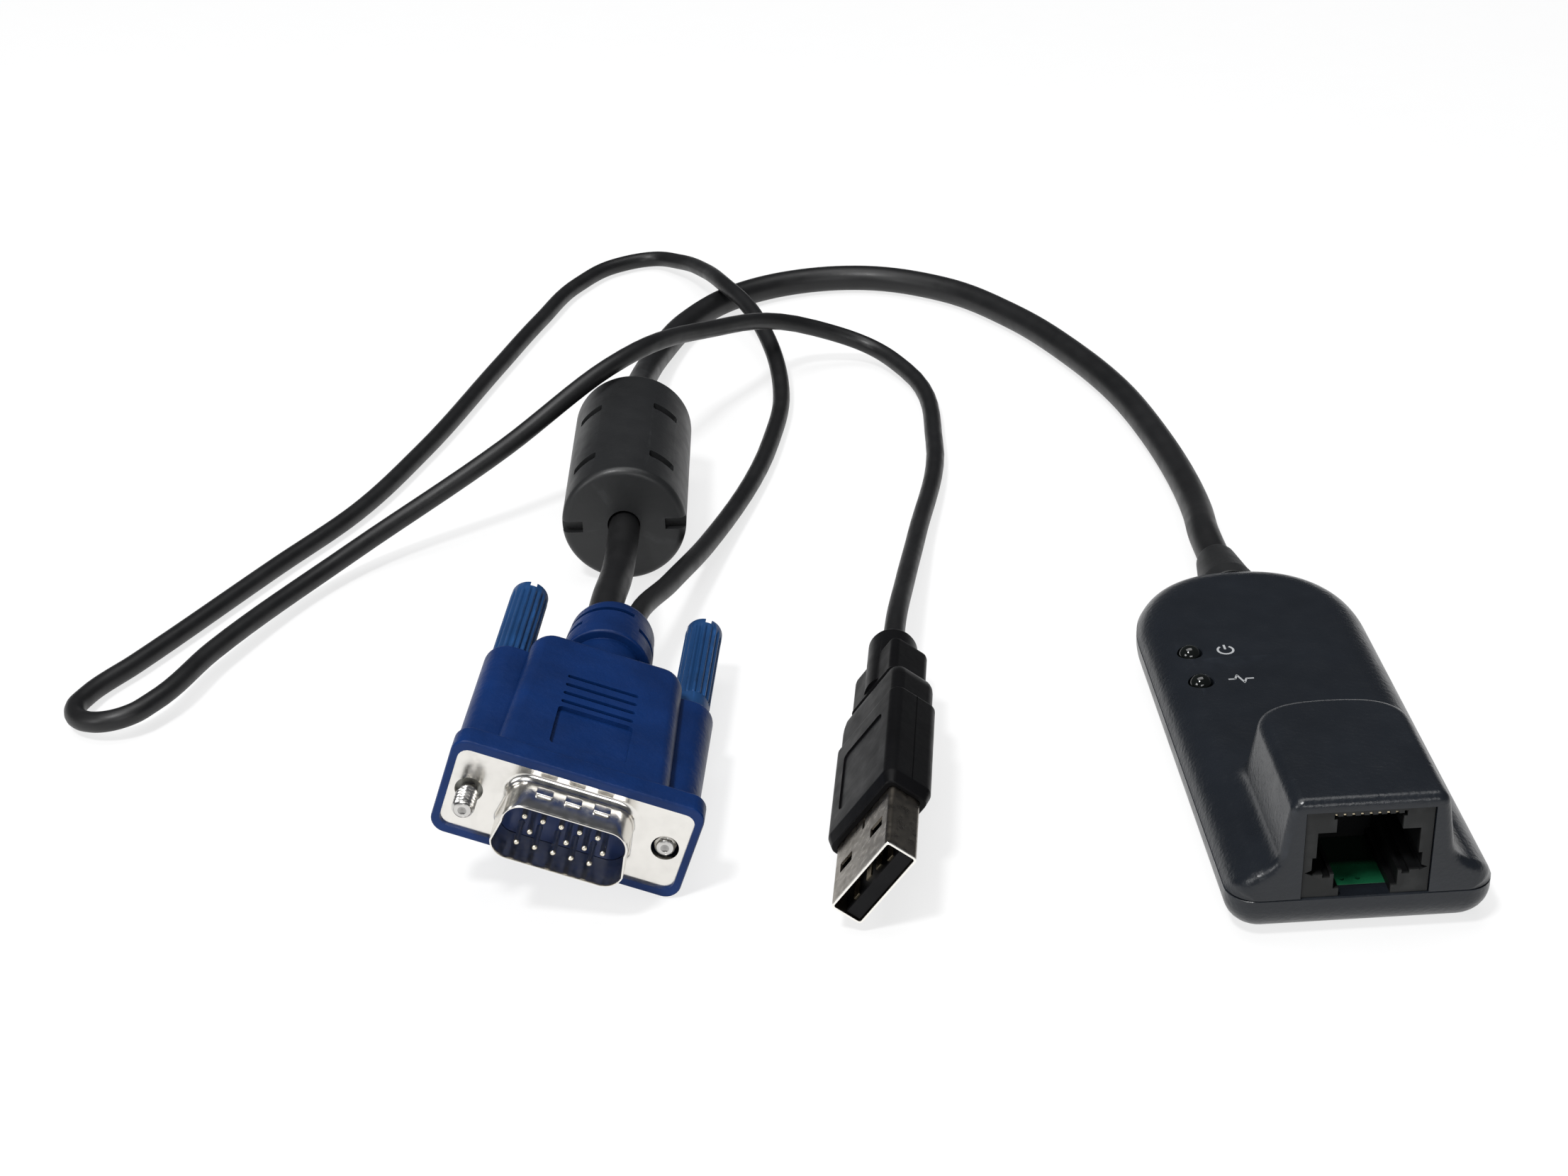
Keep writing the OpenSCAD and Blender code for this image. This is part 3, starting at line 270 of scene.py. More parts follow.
class ModuleSizes(bpy.types.PropertyGroup):
    """Sizes that a user would change"""

    lead_d: length("Thick lead", "Diameter of the video lead", 0.0048, 0.004, 0.005)
    thin_d: length("Thin lead", "Diameter of the flat plug's lead", 0.003, 0.0025, 0.0032)
    front_round: length(
        "Front edge", "Radius of the edge round the housing's front", 0.0012, 0.0004, 0.0013)
    fillet: length(
        "Tower fillet", "Radius at the foot of the tower over the socket", 0.0022, 0.001, 0.0026)
    seam: length(
        "Seam", "Width of the line between the two shells", 0.00016, 0.00005, 0.0004, 5)
    flutes: bpy.props.IntProperty(
        name="Flutes", description="Flutes round each thumbscrew's knob",
        default=18, min=10, max=40)
    groove_deep: length(
        "Grip grooves", "Depth of the finger grooves in the video plug", 0.0006, 0.0002, 0.001)
    grain: bpy.props.FloatProperty(
        name="Grain", description="Strength of the fine grain on the mouldings",
        default=0.5, min=0, max=1, subtype="FACTOR")


def colour(name, about, value):
    return bpy.props.FloatVectorProperty(
        name=name, description=about, default=value, min=0, max=1, size=3, subtype="COLOR")


class ModuleColours(bpy.types.PropertyGroup):
    """Colours that a user would change"""

    housing: colour("Housing", "Satin moulding of the two shells", (0.0085, 0.0106, 0.0142))
    hood: colour("Hood", "Moulding of the video plug", (0.0026, 0.019, 0.09))
    knob: colour("Knobs", "Moulding of the thumbscrew knobs", (0.007, 0.042, 0.13))
    cable: colour("Cable", "Jacket of both leads", (0.0065, 0.0066, 0.007))
    grip: colour("Flat plug grip", "Moulding round the flat plug", (0.0034, 0.0034, 0.0038))
    choke: colour("Choke", "Cover of the choke", (0.012, 0.0126, 0.0132))
    mark: colour("Marks", "Printed marks beside the lamps", (0.35, 0.36, 0.37))


def mm(name):
    """One of the sizes above, in millimetres."""
    return getattr(bpy.context.scene.module_sizes, name) / MM


def chosen(name):
    return tuple(getattr(bpy.context.scene.module_colours, name))


# Outlines

def squared(v, power):
    return math.copysign(abs(v) ** power, v)


def drawn_in(r, top, z):
    """How far an edge of radius r, which ends at height top, is drawn in at height z."""
    return 0 if z <= top - r else r - math.sqrt(max(0, r * r - (z - top + r) ** 2))


def turn_points(steps, start, end):
    return [math.radians(start + (end - start) * i / steps) for i in range(steps + 1)]


def arc(r, start, end, steps, x=0, y=0):
    """Points round a centre, from one angle in degrees to another."""
    return [(x + r * math.cos(a), y + r * math.sin(a)) for a in turn_points(steps, start, end)]


def edge_rows(r, steps):
    """Distances of a rounded edge from the two faces that it joins, along the edge's turn."""
    return [(r * (1 - math.sin(a)), r * (1 - math.cos(a))) for a in turn_points(steps, 0, 90)]


def rounded(w, h, r, steps, x=0, z=0):
    """Outline of a rectangle with round corners."""
    points = []
    for sx, sz, start in ((1, 1, 0), (-1, 1, 90), (-1, -1, 180), (1, -1, 270)):
        points += arc(r, start, start + 90, steps, x + sx * (w / 2 - r), z + sz * (h / 2 - r))
    return points


def half_outline(side, cy, tail_x, tail_y, power, steps):
    """Right half of a plan from the front edge back to the middle of the tail."""
    points = [(side, FACE_Y + (cy - FACE_Y) * i / 6) for i in range(6)]
    for a in turn_points(steps, 0, 90):
        x, y = tail_x * squared(math.cos(a), power), tail_y * squared(math.sin(a), power)
        points.append((x, cy + y))
    return points


def mirrored(right):
    """Whole ring from its right half, which ends at the middle."""
    return right + [(-x, y, z) for x, y, z in right][::-1][1:]


def front_rounded(half, tilt_c, tilt_s, radius, height, drop=1):
    """Ring from its right half, with the front edge rounded along the surface's own tilt."""
    side = half[0][0]
    right = []
    for back, inset in reversed(edge_rows(radius, 7)):
        y = FACE_Y + back
        right.append((side - inset * tilt_c, y, height(side, y) - inset * tilt_s * drop))
    return mirrored(right + [(x, y, height(x, y)) for x, y in half[1:]])


# Meshes, made in millimetres round the origin and moved to their place when they are finished

def linked(name, data):
    """New object for a mesh, curve, camera or light, in the scene."""
    obj = bpy.data.objects.new(name, data)
    bpy.context.scene.collection.objects.link(obj)
    return obj


def weld(mesh, dist, shortest=0):
    """Merges points that coincide, takes out faces without an area and turns all faces outwards."""
    bm = bmesh.new()
    bm.from_mesh(mesh)
    bmesh.ops.remove_doubles(bm, verts=bm.verts, dist=dist)
    if shortest:
        bmesh.ops.dissolve_degenerate(bm, edges=bm.edges, dist=shortest)
    bmesh.ops.recalc_face_normals(bm, faces=bm.faces)
    bm.to_mesh(mesh)
    bm.free()


def solid(name, verts, faces):
    mesh = bpy.data.meshes.new(name)
    mesh.from_pydata(verts, [], faces)
    weld(mesh, 1e-5)
    return linked(name, mesh)


def loft(name, rings, mirrored_top=False):
    """Solid through outlines with equally many points. A mirrored top is closed in strips."""
    n, m = len(rings[0]), len(rings)
    faces = [list(range(n))]
    for i in range(m - 1):
        for j in range(n):
            k = (j + 1) % n
            faces.append([i * n + j, i * n + k, (i + 1) * n + k, (i + 1) * n + j])
    top = (m - 1) * n
    if mirrored_top:
        last = n - 1
        for j in range((n - 1) // 2):
            ring = [top + j, top + j + 1, top + last - j - 1, top + last - j]
            faces.append(ring if len(set(ring)) == 4 else ring[:2] + ring[3:])
    else:
        faces.append([top + j for j in range(n)])
    return solid(name, [p for ring in rings for p in ring], faces)


def along_y(outlines):
    """Rings of (x, z) outlines at their depths."""
    return [[(x, y, z) for x, z in outline] for y, outline in outlines]


def along_z(outlines):
    """Rings of (x, y) outlines at their heights."""
    return [[(x, y, z) for x, y in outline] for z, outline in outlines]


def prism(name, outline, y0, y1):
    return loft(name, along_y([(y0, outline), (y1, outline)]))


def slab(name, outline, z0, z1):
    return loft(name, along_z([(z0, outline), (z1, outline)]))


def block(name, low, high):
    (x0, y0, z0), (x1, y1, z1) = low, high
    return slab(name, [(x0, y0), (x1, y0), (x1, y1), (x0, y1)], z0, z1)


def lathe(name, profile, sides=48, centre=(0, 0), along=along_y):
    """Solid turned about an axis from (radius, distance) points. A radius of 0 closes an end."""
    return loft(name, along([(d, arc(r, 0, 360, sides, *centre)[:-1]) for r, d in profile]))


def bar(name, r, y0, y1, x=0, z=0, sides=40):
    return lathe(name, [(r, y0), (r, y1)], sides, (x, z))


def post(name, r, z0, z1, x=0, y=0, sides=40):
    return lathe(name, [(r, z0), (r, z1)], sides, (x, y), along_z)


def combine(obj, operation, others):
    for other in others:
        step = obj.modifiers.new(operation, "BOOLEAN")
        step.operation = operation
        step.solver = "EXACT"
        step.object = other
    bpy.context.view_layer.update()
    shown = obj.evaluated_get(bpy.context.evaluated_depsgraph_get())
    made = bpy.data.meshes.new_from_object(shown)
    obj.modifiers.clear()
    obj.data = made
    for other in others:
        bpy.data.objects.remove(other)


def cut(obj, *others):
    combine(obj, "DIFFERENCE", others)


def add(obj, *others):
    combine(obj, "UNION", others)


def together(name, objs):
    """Several separate solids as one mesh."""
    bm = bmesh.new()
    for obj in objs:
        bm.from_mesh(obj.data)
        bpy.data.objects.remove(obj)
    mesh = bpy.data.meshes.new(name)
    bm.to_mesh(mesh)
    bm.free()
    return linked(name, mesh)


def soft_edges(obj, width, segments):
    edge = obj.modifiers.new("Soft edges", "BEVEL")
    edge.width = width * MM
    edge.segments = segments
    edge.limit_method = "ANGLE"
    edge.angle_limit = math.radians(40)
    return edge


def finish(obj, look, node=None, sharp=35, where=HERE, body="module", bevel=0, tidy=True):
    """Moves a piece to its place, smooths it, gives it its look and hides the solid that it stands
    for.
    """
    if tidy:
        weld(obj.data, 2e-4, 1e-4)
    obj.data.transform(Matrix.Scale(MM, 4) @ where)
    obj.data.shade_smooth()
    obj.data.set_sharp_from_angle(angle=math.radians(sharp))
    if bevel:
        soft_edges(obj, bevel, 2).harden_normals = True
    obj.modifiers.new("Even shading", "WEIGHTED_NORMAL").keep_sharp = True
    obj.data.materials.clear()
    obj.data.materials.append(FINISHES[look])
    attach(obj, body)
    if node:
        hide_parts(node)


# Finishes

class Nodes:
    """A material's node tree, with short ways to add to it."""

    def __init__(self, name, base, rough, metal, specular):
        self.material = bpy.data.materials.new(name)
        self.material.use_nodes = True
        self.material.diffuse_color = (*base, 1)
        self.tree = self.material.node_tree
        self.shader = self.tree.nodes["Principled BSDF"]
        self.fill(self.shader, {
            "Base Color": (*base, 1), "Roughness": rough, "Metallic": metal,
            "Specular IOR Level": specular})
        where = self.new("TexCoord").outputs["Object"]
        scale = self.new("Mapping", {"Vector": where, "Scale": (1 / MM, 1 / MM, 1 / MM)})
        self.position = scale.outputs["Vector"]

    def fill(self, node, inputs):
        """Gives each input that is named a value, or a link from a socket."""
        for key, value in inputs.items():
            if isinstance(value, bpy.types.NodeSocket):
                self.tree.links.new(value, node.inputs[key])
            else:
                node.inputs[key].default_value = value
        return node

    def new(self, kind, inputs={}, **settings):
        made = self.tree.nodes.new("ShaderNode" + kind)
        for name, value in settings.items():
            setattr(made, name, value)
        return self.fill(made, inputs)

    def noise(self, scale, detail, stretch=None):
        where = self.position
        if stretch:
            where = self.new("Mapping", {"Vector": where, "Scale": stretch}).outputs["Vector"]
        made = self.new("TexNoise", {"Vector": where, "Scale": scale, "Detail": detail})
        return made.outputs["Fac"]

    def between(self, value, low, high, start=0.3, end=0.7):
        made = self.new("MapRange", {
            "Value": value, "From Min": start, "From Max": end, "To Min": low, "To Max": high})
        return made.outputs["Result"]

    def mix(self, share, a, b):
        a, b = ((*c, 1) if isinstance(c, tuple) else c for c in (a, b))
        return self.new("Mix", {0: share, 6: a, 7: b}, data_type="RGBA").outputs[2]

    def calc(self, operation, a, b):
        return self.new("Math", {0: a, 1: b}, operation=operation).outputs[0]

    def pointed(self, low, high, start, end):
        """A value that runs from hollows over flat faces to sharp edges."""
        return self.between(self.new("NewGeometry").outputs["Pointiness"], low, high, start, end)

    def along(self, axis):
        """Distance along an axis through the origin, in millimetres."""
        made = self.new("VectorMath", {0: self.position, 1: axis}, operation="DOT_PRODUCT")
        return made.outputs["Value"]

    def surface(self, body, rough, grain, depth, strength):
        bump = self.new("Bump", {"Height": grain, "Distance": depth * MM, "Strength": strength})
        self.fill(self.shader, {
            "Base Color": body, "Roughness": rough, "Normal": bump.outputs["Normal"]})

    def tint(self, share, rgb):
        """Blends a colour over the base colour that is there."""
        now = self.shader.inputs["Base Color"].links[0].from_socket
        self.fill(self.shader, {"Base Color": self.mix(share, now, rgb)})


def shade(rgb, share):
    return tuple(min(1, c * share) for c in rgb)


def moulding(name, base, rough, grain, depth, strength, specular, wear, mottle=0.12):
    """Moulded plastic: fine grain, slow changes of colour and gloss, and lighter worn edges."""
    n = Nodes(name, base, rough, 0, specular)
    slow = n.between(n.noise(0.12, 4), 0, 1)
    body = n.mix(slow, shade(base, 1 - mottle), shade(base, 1 + mottle))
    if wear:
        rubbed = n.between(n.noise(0.5, 4), 0, wear, 0.4, 0.65)
        edges = n.pointed(0, 1, 0.53, 0.62)
        body = n.mix(n.calc("MULTIPLY", edges, rubbed), body, shade(base, 2.6))
    gloss = n.between(n.noise(0.35, 5), rough * 0.88, rough * 1.14)
    n.surface(body, gloss, n.noise(grain, 2), depth, strength)
    return n


def metal(name, base, rough, tarnish, brushed=(1, 1, 1), depth=0.01, hollow_shade=0):
    """Plated or bare metal: fine rubbing marks, cloudy gloss, dull patches and painted shade in the
    hollows.
    """
    n = Nodes(name, base, rough, 1, 0.5)
    dull = n.between(n.noise(0.45, 5), 0, tarnish, 0.45, 0.75)
    body = n.mix(dull, base, shade(base, 0.6))
    # Painted shade: hollows, such as the screw thread's grooves, are darkened.
    body = n.mix(n.pointed(hollow_shade, 0, 0.36, 0.46), body, shade(base, 0.12))
    gloss = n.between(n.noise(1.1, 5), rough * 0.75, rough * 1.4)
    n.surface(body, gloss, n.noise(5, 3, brushed), depth, 0.25)
    return n


def painted_socket_shade(n):
    """The socket's moulding behind its front face gets painted shade, darker than the front face.
    """
    # Painted shade: darker from just behind the front face inwards, where the plug room lies in
    # shade.
    deep = n.between(n.along((0, 1, 0)), 0, 1, JACK_FRONT + 0.05, JACK_FRONT + 0.5)
    n.tint(deep, (0.004, 0.0042, 0.0045))


def board_darker(n):
    """The board's front edge is pale, and little light reaches it deeper in the socket."""
    depth = n.along((0, 1, 0))
    n.tint(n.between(depth, 1, 0, BOARD_FRONT + 0.05, BOARD_FRONT + 0.3), (0.1, 0.16, 0.11))
    n.tint(n.between(depth, 0, 1, BOARD_FRONT + 4, BOARD_FRONT + 5), (0.0015, 0.006, 0.003))


def painted_mouth_highlight(n):
    """The edge round the flat plug's mouth gets a painted highlight, a near-white band."""
    axis = (FLAT.to_3x3() @ Vector((0, 1, 0))).normalized()
    mouth = FLAT.to_translation().dot(axis)
    # Painted highlight along the mouth's rounded edge.
    n.tint(n.between(n.along(axis), 1, 0, mouth + 0.08, mouth + 0.16), (0.95, 0.93, 0.88))


FINISHES = {}


def make_finishes():
    grain = 1.2 * bpy.context.scene.module_sizes.grain
    # Name, colour, roughness, scale, depth and strength of the grain, specular, wear, mottle
    mouldings = {
        "housing": ("Housing satin black", chosen("housing"), 0.3, 1.7, 0.09, grain, 0.38, 0.35),
        "socket": ("Socket dark grey", (0.016, 0.0165, 0.0165), 0.5, 2.5, 0.02, 0.3, 0.15, 0.3),
        "lamp": ("Lamp dark lens", (0.004, 0.005, 0.0045), 0.06, 0.6, 0.004, 0.2, 0.55, 0, 0.3),
        "relief": ("Relief black", (0.011, 0.0115, 0.012), 0.5, 2.2, 0.03, 0.4, 0.3, 0.3),
        "cable": ("Cable jacket black", chosen("cable"), 0.44, 0.9, 0.03, 0.35, 0.38, 0, 0.25),
        "choke": ("Choke matt grey", chosen("choke"), 0.42, 1.6, 0.04, 0.5, 0.4, 0.4),
        "hood": ("Hood deep blue", chosen("hood"), 0.4, 1.3, 0.08, 0.7, 0.2, 0.2, 0.2),
        "knob": ("Knob blue", chosen("knob"), 0.46, 1.8, 0.03, 0.45, 0.3, 0.4, 0.15),
        "grip": ("Grip black", chosen("grip"), 0.42, 0.7, 0.06, 0.4, 0.1, 0.5, 0.3),
        "mark": ("Mark ink", chosen("mark"), 0.6, 3, 0.01, 0.3, 0.2, 0, 0.08),
        "insulator": ("Insulator blue", (0.0018, 0.016, 0.085), 0.4, 2, 0.02, 0.3, 0.35, 0),
        "collar": ("Collar nylon", (0.6, 0.6, 0.55), 0.4, 2, 0.02, 0.3, 0.4, 0),
        "tongue": ("Tongue black", (0.004, 0.004, 0.0045), 0.4, 2, 0.01, 0.3, 0.12, 0.2),
        "chip": ("Chip epoxy", (0.008, 0.008, 0.009), 0.5, 3, 0.02, 0.4, 0.3, 0),
        "header": ("Header nylon", (0.62, 0.6, 0.5), 0.45, 2, 0.02, 0.3, 0.35, 0),
        "ceramic": ("Capacitor ceramic", (0.3, 0.2, 0.11), 0.45, 2, 0.02, 0.3, 0.35, 0),
        "wire": ("Wire red", (0.25, 0.02, 0.015), 0.4, 2, 0.02, 0.3, 0.35, 0),
        "board": ("Board green", (0.006, 0.07, 0.03), 0.28, 0.9, 0.03, 0.4, 0.45, 0.2, 0.2),
        "ferrite": ("Ferrite grey", (0.04, 0.04, 0.042), 0.6, 1, 0.05, 0.6, 0.3, 0.2, 0.2),
    }
    # Name, colour, roughness, tarnish, direction of the brushing, depth, painted shade in hollows
    metals = {
        "nickel": ("Nickel plate", (0.8, 0.78, 0.74), 0.19, 0.16, (1, 1, 1), 0.006),
        # The screw steel gets painted shade in its thread's grooves.
        "steel": ("Screw steel", (0.62, 0.61, 0.59), 0.22, 0.25, (0.4, 3, 0.4), 0.01, 0.9),
        "shell": ("Plug shell steel", (0.24, 0.215, 0.18), 0.3, 0.5, (0.3, 0.05, 0.3), 0.02),
        "gold": ("Contact gold", (0.5, 0.43, 0.3), 0.3, 0.35),
        "pin": ("Pin plating", (0.8, 0.75, 0.64), 0.2, 0.15),
        "can": ("Crystal can", (0.7, 0.7, 0.7), 0.3, 0.2),
        "fixing": ("Fixing screw steel", (0.42, 0.42, 0.43), 0.34, 0.4),
    }
    made = {key: moulding(*row) for key, row in mouldings.items()}
    made.update({key: metal(*row) for key, row in metals.items()})
    # Painted shade inside the socket.
    painted_socket_shade(made["socket"])
    board_darker(made["board"])
    # Painted highlight round the flat plug's mouth.
    painted_mouth_highlight(made["shell"])
    for key, value in made.items():
        FINISHES[key] = value.material


# Housing

def body_half(inset):
    """Right half of the housing's plan, drawn in everywhere but at the front."""
    side = HALF_W - inset
    return half_outline(side, TAIL_Y - TAIL_L, side, TAIL_L - inset, TAIL_SQUARE, 36)


def top_ring(share):
    """Ring of the top shell's rounded side, from the seam (0) to the deck (1)."""
    low = math.asin((PARTING_Z - DECK_Z + DECK_ROUND) / DECK_ROUND)
    tilt = low + (math.pi / 2 - low) * share
    z = DECK_Z - DECK_ROUND + DECK_ROUND * math.sin(tilt)
    c = math.cos(tilt) + (1 - math.cos(tilt)) * max(0, 1 - 4 * share)
    radius = mm("front_round") + (CORNER_R - mm("front_round")) * c ** 3
    drop = 1 - (1 - (z - PARTING_Z) / (DECK_Z - PARTING_Z)) ** 3
    half = body_half(DECK_ROUND * (math.cos(low) - math.cos(tilt)))
    return front_rounded(half, c, math.sin(tilt), radius, lambda x, y: z, drop)


def bottom_ring(inset, z):
    side, front = HALF_W - inset, FACE_Y + inset
    radius = CORNER_R * (1 - CORNER_SHARE * inset / BOTTOM_ROUND)
    right = [(side - x, front + y, z) for y, x in reversed(edge_rows(radius, 7))]
    right += [(x, max(y, front + radius), z) for x, y in body_half(inset)[1:]]
    return mirrored(right)


def seam_ring(ring):
    """The ring at the parting plane, drawn in by the seam."""
    seam = mm("seam")
    return [(x * (1 - seam / HALF_W), y + (seam if y < 0 else -seam), z) for x, y, z in ring]


def deck_height(x):
    """Height of the deck with its rounded sides, at distance x from the middle."""
    inward = HALF_W - abs(x) + drawn_in(DECK_ROUND, DECK_Z, PARTING_Z)
    return DECK_Z - drawn_in(DECK_ROUND, 0, -inward)


def tower_half(grow):
    side = TOWER_W / 2 + grow
    tail_y = FACE_Y + TOWER_L - TOWER_TAIL
    return half_outline(side, tail_y, side, TOWER_TAIL + grow, TOWER_SQUARE, 24)


def tower():
    """Raised part over the socket, with a fillet that follows the deck's rounded sides."""
    sunk, set_back, bite = 1.4, 0.4, 0.02
    fillet, front = mm("fillet"), mm("front_round")
    foot = TOWER_LEAN + fillet
    foot_s = (deck_height(TOWER_W / 2 + foot) - DECK_Z + DECK_ROUND) / DECK_ROUND
    foot_c = math.sqrt(1 - foot_s ** 2)
    root = front_rounded(
        tower_half(foot - 1), foot_c, foot_s, front, lambda x, y: deck_height(x) - sunk)
    rings = [[(x, y + set_back, z) for x, y, z in root]]
    for a in turn_points(12, 0, 90):
        up = fillet * (1 - math.cos(a))
        lean = TOWER_LEAN * (1 - up / (TOWER_Z - DECK_Z))
        half = tower_half(lean + fillet * (1 - math.sin(a)))
        c, s = foot_c + (1 - foot_c) * math.sin(a), foot_s * math.cos(a)
        rings.append(front_rounded(half, c, s, front, lambda x, y: deck_height(x) - bite + up))
    for a in turn_points(10, 0, 90):
        z = TOWER_Z - TOWER_ROUND * (1 - math.sin(a))
        lean = TOWER_LEAN * (TOWER_Z - z) / (TOWER_Z - DECK_Z)
        half = tower_half(lean - TOWER_ROUND * (1 - math.cos(a)))
        rings.append(front_rounded(half, math.cos(a), math.sin(a), front, lambda x, y: z))
    return loft("tower", rings, mirrored_top=True)


def room_plan(inset):
    points = [(x, min(max(y, FACE_Y + FRONT_WALL), SEAT_Y - inset + SIDE_WALL))
              for x, y, _ in bottom_ring(inset, 0)]
    return list(dict.fromkeys(points))


def relief_holes():
    """Cutters for the strain relief's neck and for its root behind the neck."""
    neck_end = RELIEF_STEP_Y + OVER
    return [bar("neck hole", RELIEF_NECK_R + RELIEF_GAP, SEAT_Y - OVER, neck_end, z=RELIEF_Z),
            bar("root hole", RELIEF_R + RELIEF_GAP, RELIEF_STEP_Y, TAIL_Y + OVER, z=RELIEF_Z)]


def at_posts(name, r, z0, z1):
    """The same upright cylinder at both screw posts."""
    return [post(name, r, z0, z1, side * POST_X, POST_Y) for side in (-1, 1)]


def top_shell():
    seam, low = mm("seam"), PARTING_Z - OVER
    rings = [top_ring(i / 16) for i in range(17)]
    lifted = [(x, y, z + min(seam, (above[2] - z) / 2))
              for (x, y, z), above in zip(rings[0], rings[1])]
    rings = [seam_ring(rings[0]), lifted] + rings[1:]
    shell = loft("top_shell_moulding", rings, mirrored_top=True)
    add(shell, tower())
    room = slab("room", room_plan(SIDE_WALL), low, ROOF_Z)
    cut(room, *at_posts("post", POST_R, PARTING_Z, DECK_Z))
    lip_plan = room_plan(SIDE_WALL - LIP_T - LIP_GAP)
    lip_room = slab("lip room", lip_plan, low, PARTING_Z + LIP_H + LIP_GAP)
    screw_holes = at_posts("hole", PILOT_R, low, PARTING_Z + PILOT_DEEP)
    lamp_holes = [post("lamp hole", LED_HOLE_R, ROOF_Z - OVER, DECK_Z + OVER, LED_X, y, 48)
                  for y in LED_YS]
    edge = [(LED_HOLE_R, DECK_Z - 0.14), (LED_HOLE_R + 0.16, DECK_Z + 0.02)]
    rims = [lathe("rim", edge, 48, (LED_X, y), along_z) for y in LED_YS]
    side, roof = JACK_W / 2 + 0.12, PARTING_Z + JACK_H + 0.2
    socket = block("socket", (-side, FACE_Y - OVER, low), (side, JACK_ROOM_Y, roof))
    cut(shell, room, lip_room, *screw_holes, *lamp_holes, *rims, socket, *relief_holes())
    finish(shell, "housing", "top_shell", 38)


def bottom_shell():
    rings = [bottom_ring(inset, z) for inset, z in edge_rows(BOTTOM_ROUND, 12)]
    rings += [bottom_ring(0, PARTING_Z - mm("seam")), seam_ring(bottom_ring(0, PARTING_Z))]
    shell = loft("bottom_shell_moulding", rings, mirrored_top=True)
    cut(shell, slab("room", room_plan(SIDE_WALL), WALL, PARTING_Z + OVER))
    lip, high = slab("lip", room_plan(SIDE_WALL - LIP_T), WALL, PARTING_Z + LIP_H), PARTING_Z + 2
    cut(lip, slab("lip inside", room_plan(SIDE_WALL), WALL - OVER, high),
        block("socket gap", (-HALF_W, FACE_Y - OVER, PARTING_Z), (HALF_W, JACK_ROOM_Y, high)))
    bosses = at_posts("boss", BOSS_R, WALL / 2, BOARD_LOW)
    rails = [block("rail", (x - RAIL_T / 2, RAIL_YS[0], WALL / 2),
                   (x + RAIL_T / 2, RAIL_YS[1], BOARD_LOW)) for x in (-RAIL_X, RAIL_X)]
    add(shell, lip, *bosses, *rails)
    heads = at_posts("head", HEAD_R, -OVER, HEAD_DEEP)
    holes = at_posts("hole", SHANK_R, -OVER, 4.5)
    cut(shell, *heads, *holes, *relief_holes())
    finish(shell, "housing", "bottom_shell", 38)


def socket_body():
    front, base, top = JACK_FRONT, PARTING_Z, PARTING_Z + JACK_H
    low, high = base + 3.2, base + 9.1
    corners = (-JACK_W / 2, front, base), (JACK_W / 2, front + JACK_L, top)
    body = block("socket_moulding", *corners)

    def room(name, w, deep, z0, z1, x=0, start=-OVER):
        return block(name, (x - w / 2, front + start, z0), (x + w / 2, front + deep, z1))

    cutters = [
        room("plug room", 12.1, 13, low, high),
        room("ledge", 13, 13, low, low + 2.4),
        room("comb room", 7.8, 13, high - 1, top - 0.6),
        room("latch", 7.6, 12, base + 1.1, low + 1),
        room("latch low", 6.2, 12, base - OVER, base + 2.1),
    ]
    for i in range(9):
        x = (i - 4) * CONTACT_PITCH
        cutters.append(room("comb slot", 0.4, 3.4, top - 1, top - 0.25, x))
    for side in (-1, 1):
        tip = [(side * 6.3, low - 0.15), (side * 7.3, low + 0.3), (side * 6.3, low + 0.75)]
        cutters.append(prism("notch", tip, front - OVER, front + 6))
        cutters.append(room("key", 0.9, 12, low - 0.5, low + 0.5, side * 4.7))
        cutters.append(room("side relief", 0.6, 9, base + 2, base + 5, side * JACK_W / 2, 1.6))
    cut(body, *cutters)
    finish(body, "socket", "jack_body", 30, bevel=0.07)


def lamp(name, y, node):
    top, base, edge = DECK_Z + LED_OUT, PARTING_Z, 0.05
    rim_r, rim_top = LED_R + 0.3, base + 0.7
    profile = [
        (0, base), (rim_r - edge, base), (rim_r, base + edge), (rim_r, rim_top - edge),
        (rim_r - edge, rim_top), (LED_R, rim_top), *arc(LED_R, 0, 84, 14, 0, top - LED_R),
        (0, top)]
    finish(lathe(name, profile, 48, (LED_X, y), along_z), "lamp", node)


def lamps():
    lamp("power_lamp", LED_YS[0], "power_led")
    lamp("active_lamp", LED_YS[1], "active_led")


def ribbon(name, points, width, z0, z1):
    """Printed line of even width through plan points."""
    left, right = [], []
    for i, (x, y) in enumerate(points):
        before, after = points[max(0, i - 1)], points[min(len(points) - 1, i + 1)]
        way = Vector((after[0] - before[0], after[1] - before[1])).normalized()
        left.append((x - way.y * width / 2, y + way.x * width / 2))
        right.append((x + way.y * width / 2, y - way.x * width / 2))
    return slab(name, left + right[::-1], z0, z1)


def marks():
    """Generic signs for power and activity, printed beside the lamps."""
    z0, z1 = DECK_Z - 0.02, DECK_Z + 0.025
    line, thin, gap = 0.3, 0.28, 35
    x, y = -5.9, LED_YS[0]
    ring = arc(1.05, 90 - gap, gap - 270, 28, x, y)
    power = [ribbon("ring", ring, line, z0, z1),
             ribbon("bar", [(x, y + 0.2), (x, y + 1.35)], line, z0, z1)]
    finish(together("power_mark", power), "mark", sharp=30)
    x, y = -5.4, LED_YS[1]
    steps = [(-1.7, 0), (-0.8, 0), (-0.4, 0.95), (0.3, -0.95), (0.7, 0), (1.7, 0)]
    places = [(x + u, y + v) for u, v in steps]
    pulse = [ribbon("stroke", pair, thin, z0, z1) for pair in zip(places, places[1:])]
    pulse += [post("corner", thin / 2, z0, z1 - 0.001 * i, *p, 12)
              for i, p in enumerate(places[1:-1])]
    finish(together("activity_mark", pulse), "mark", sharp=30)


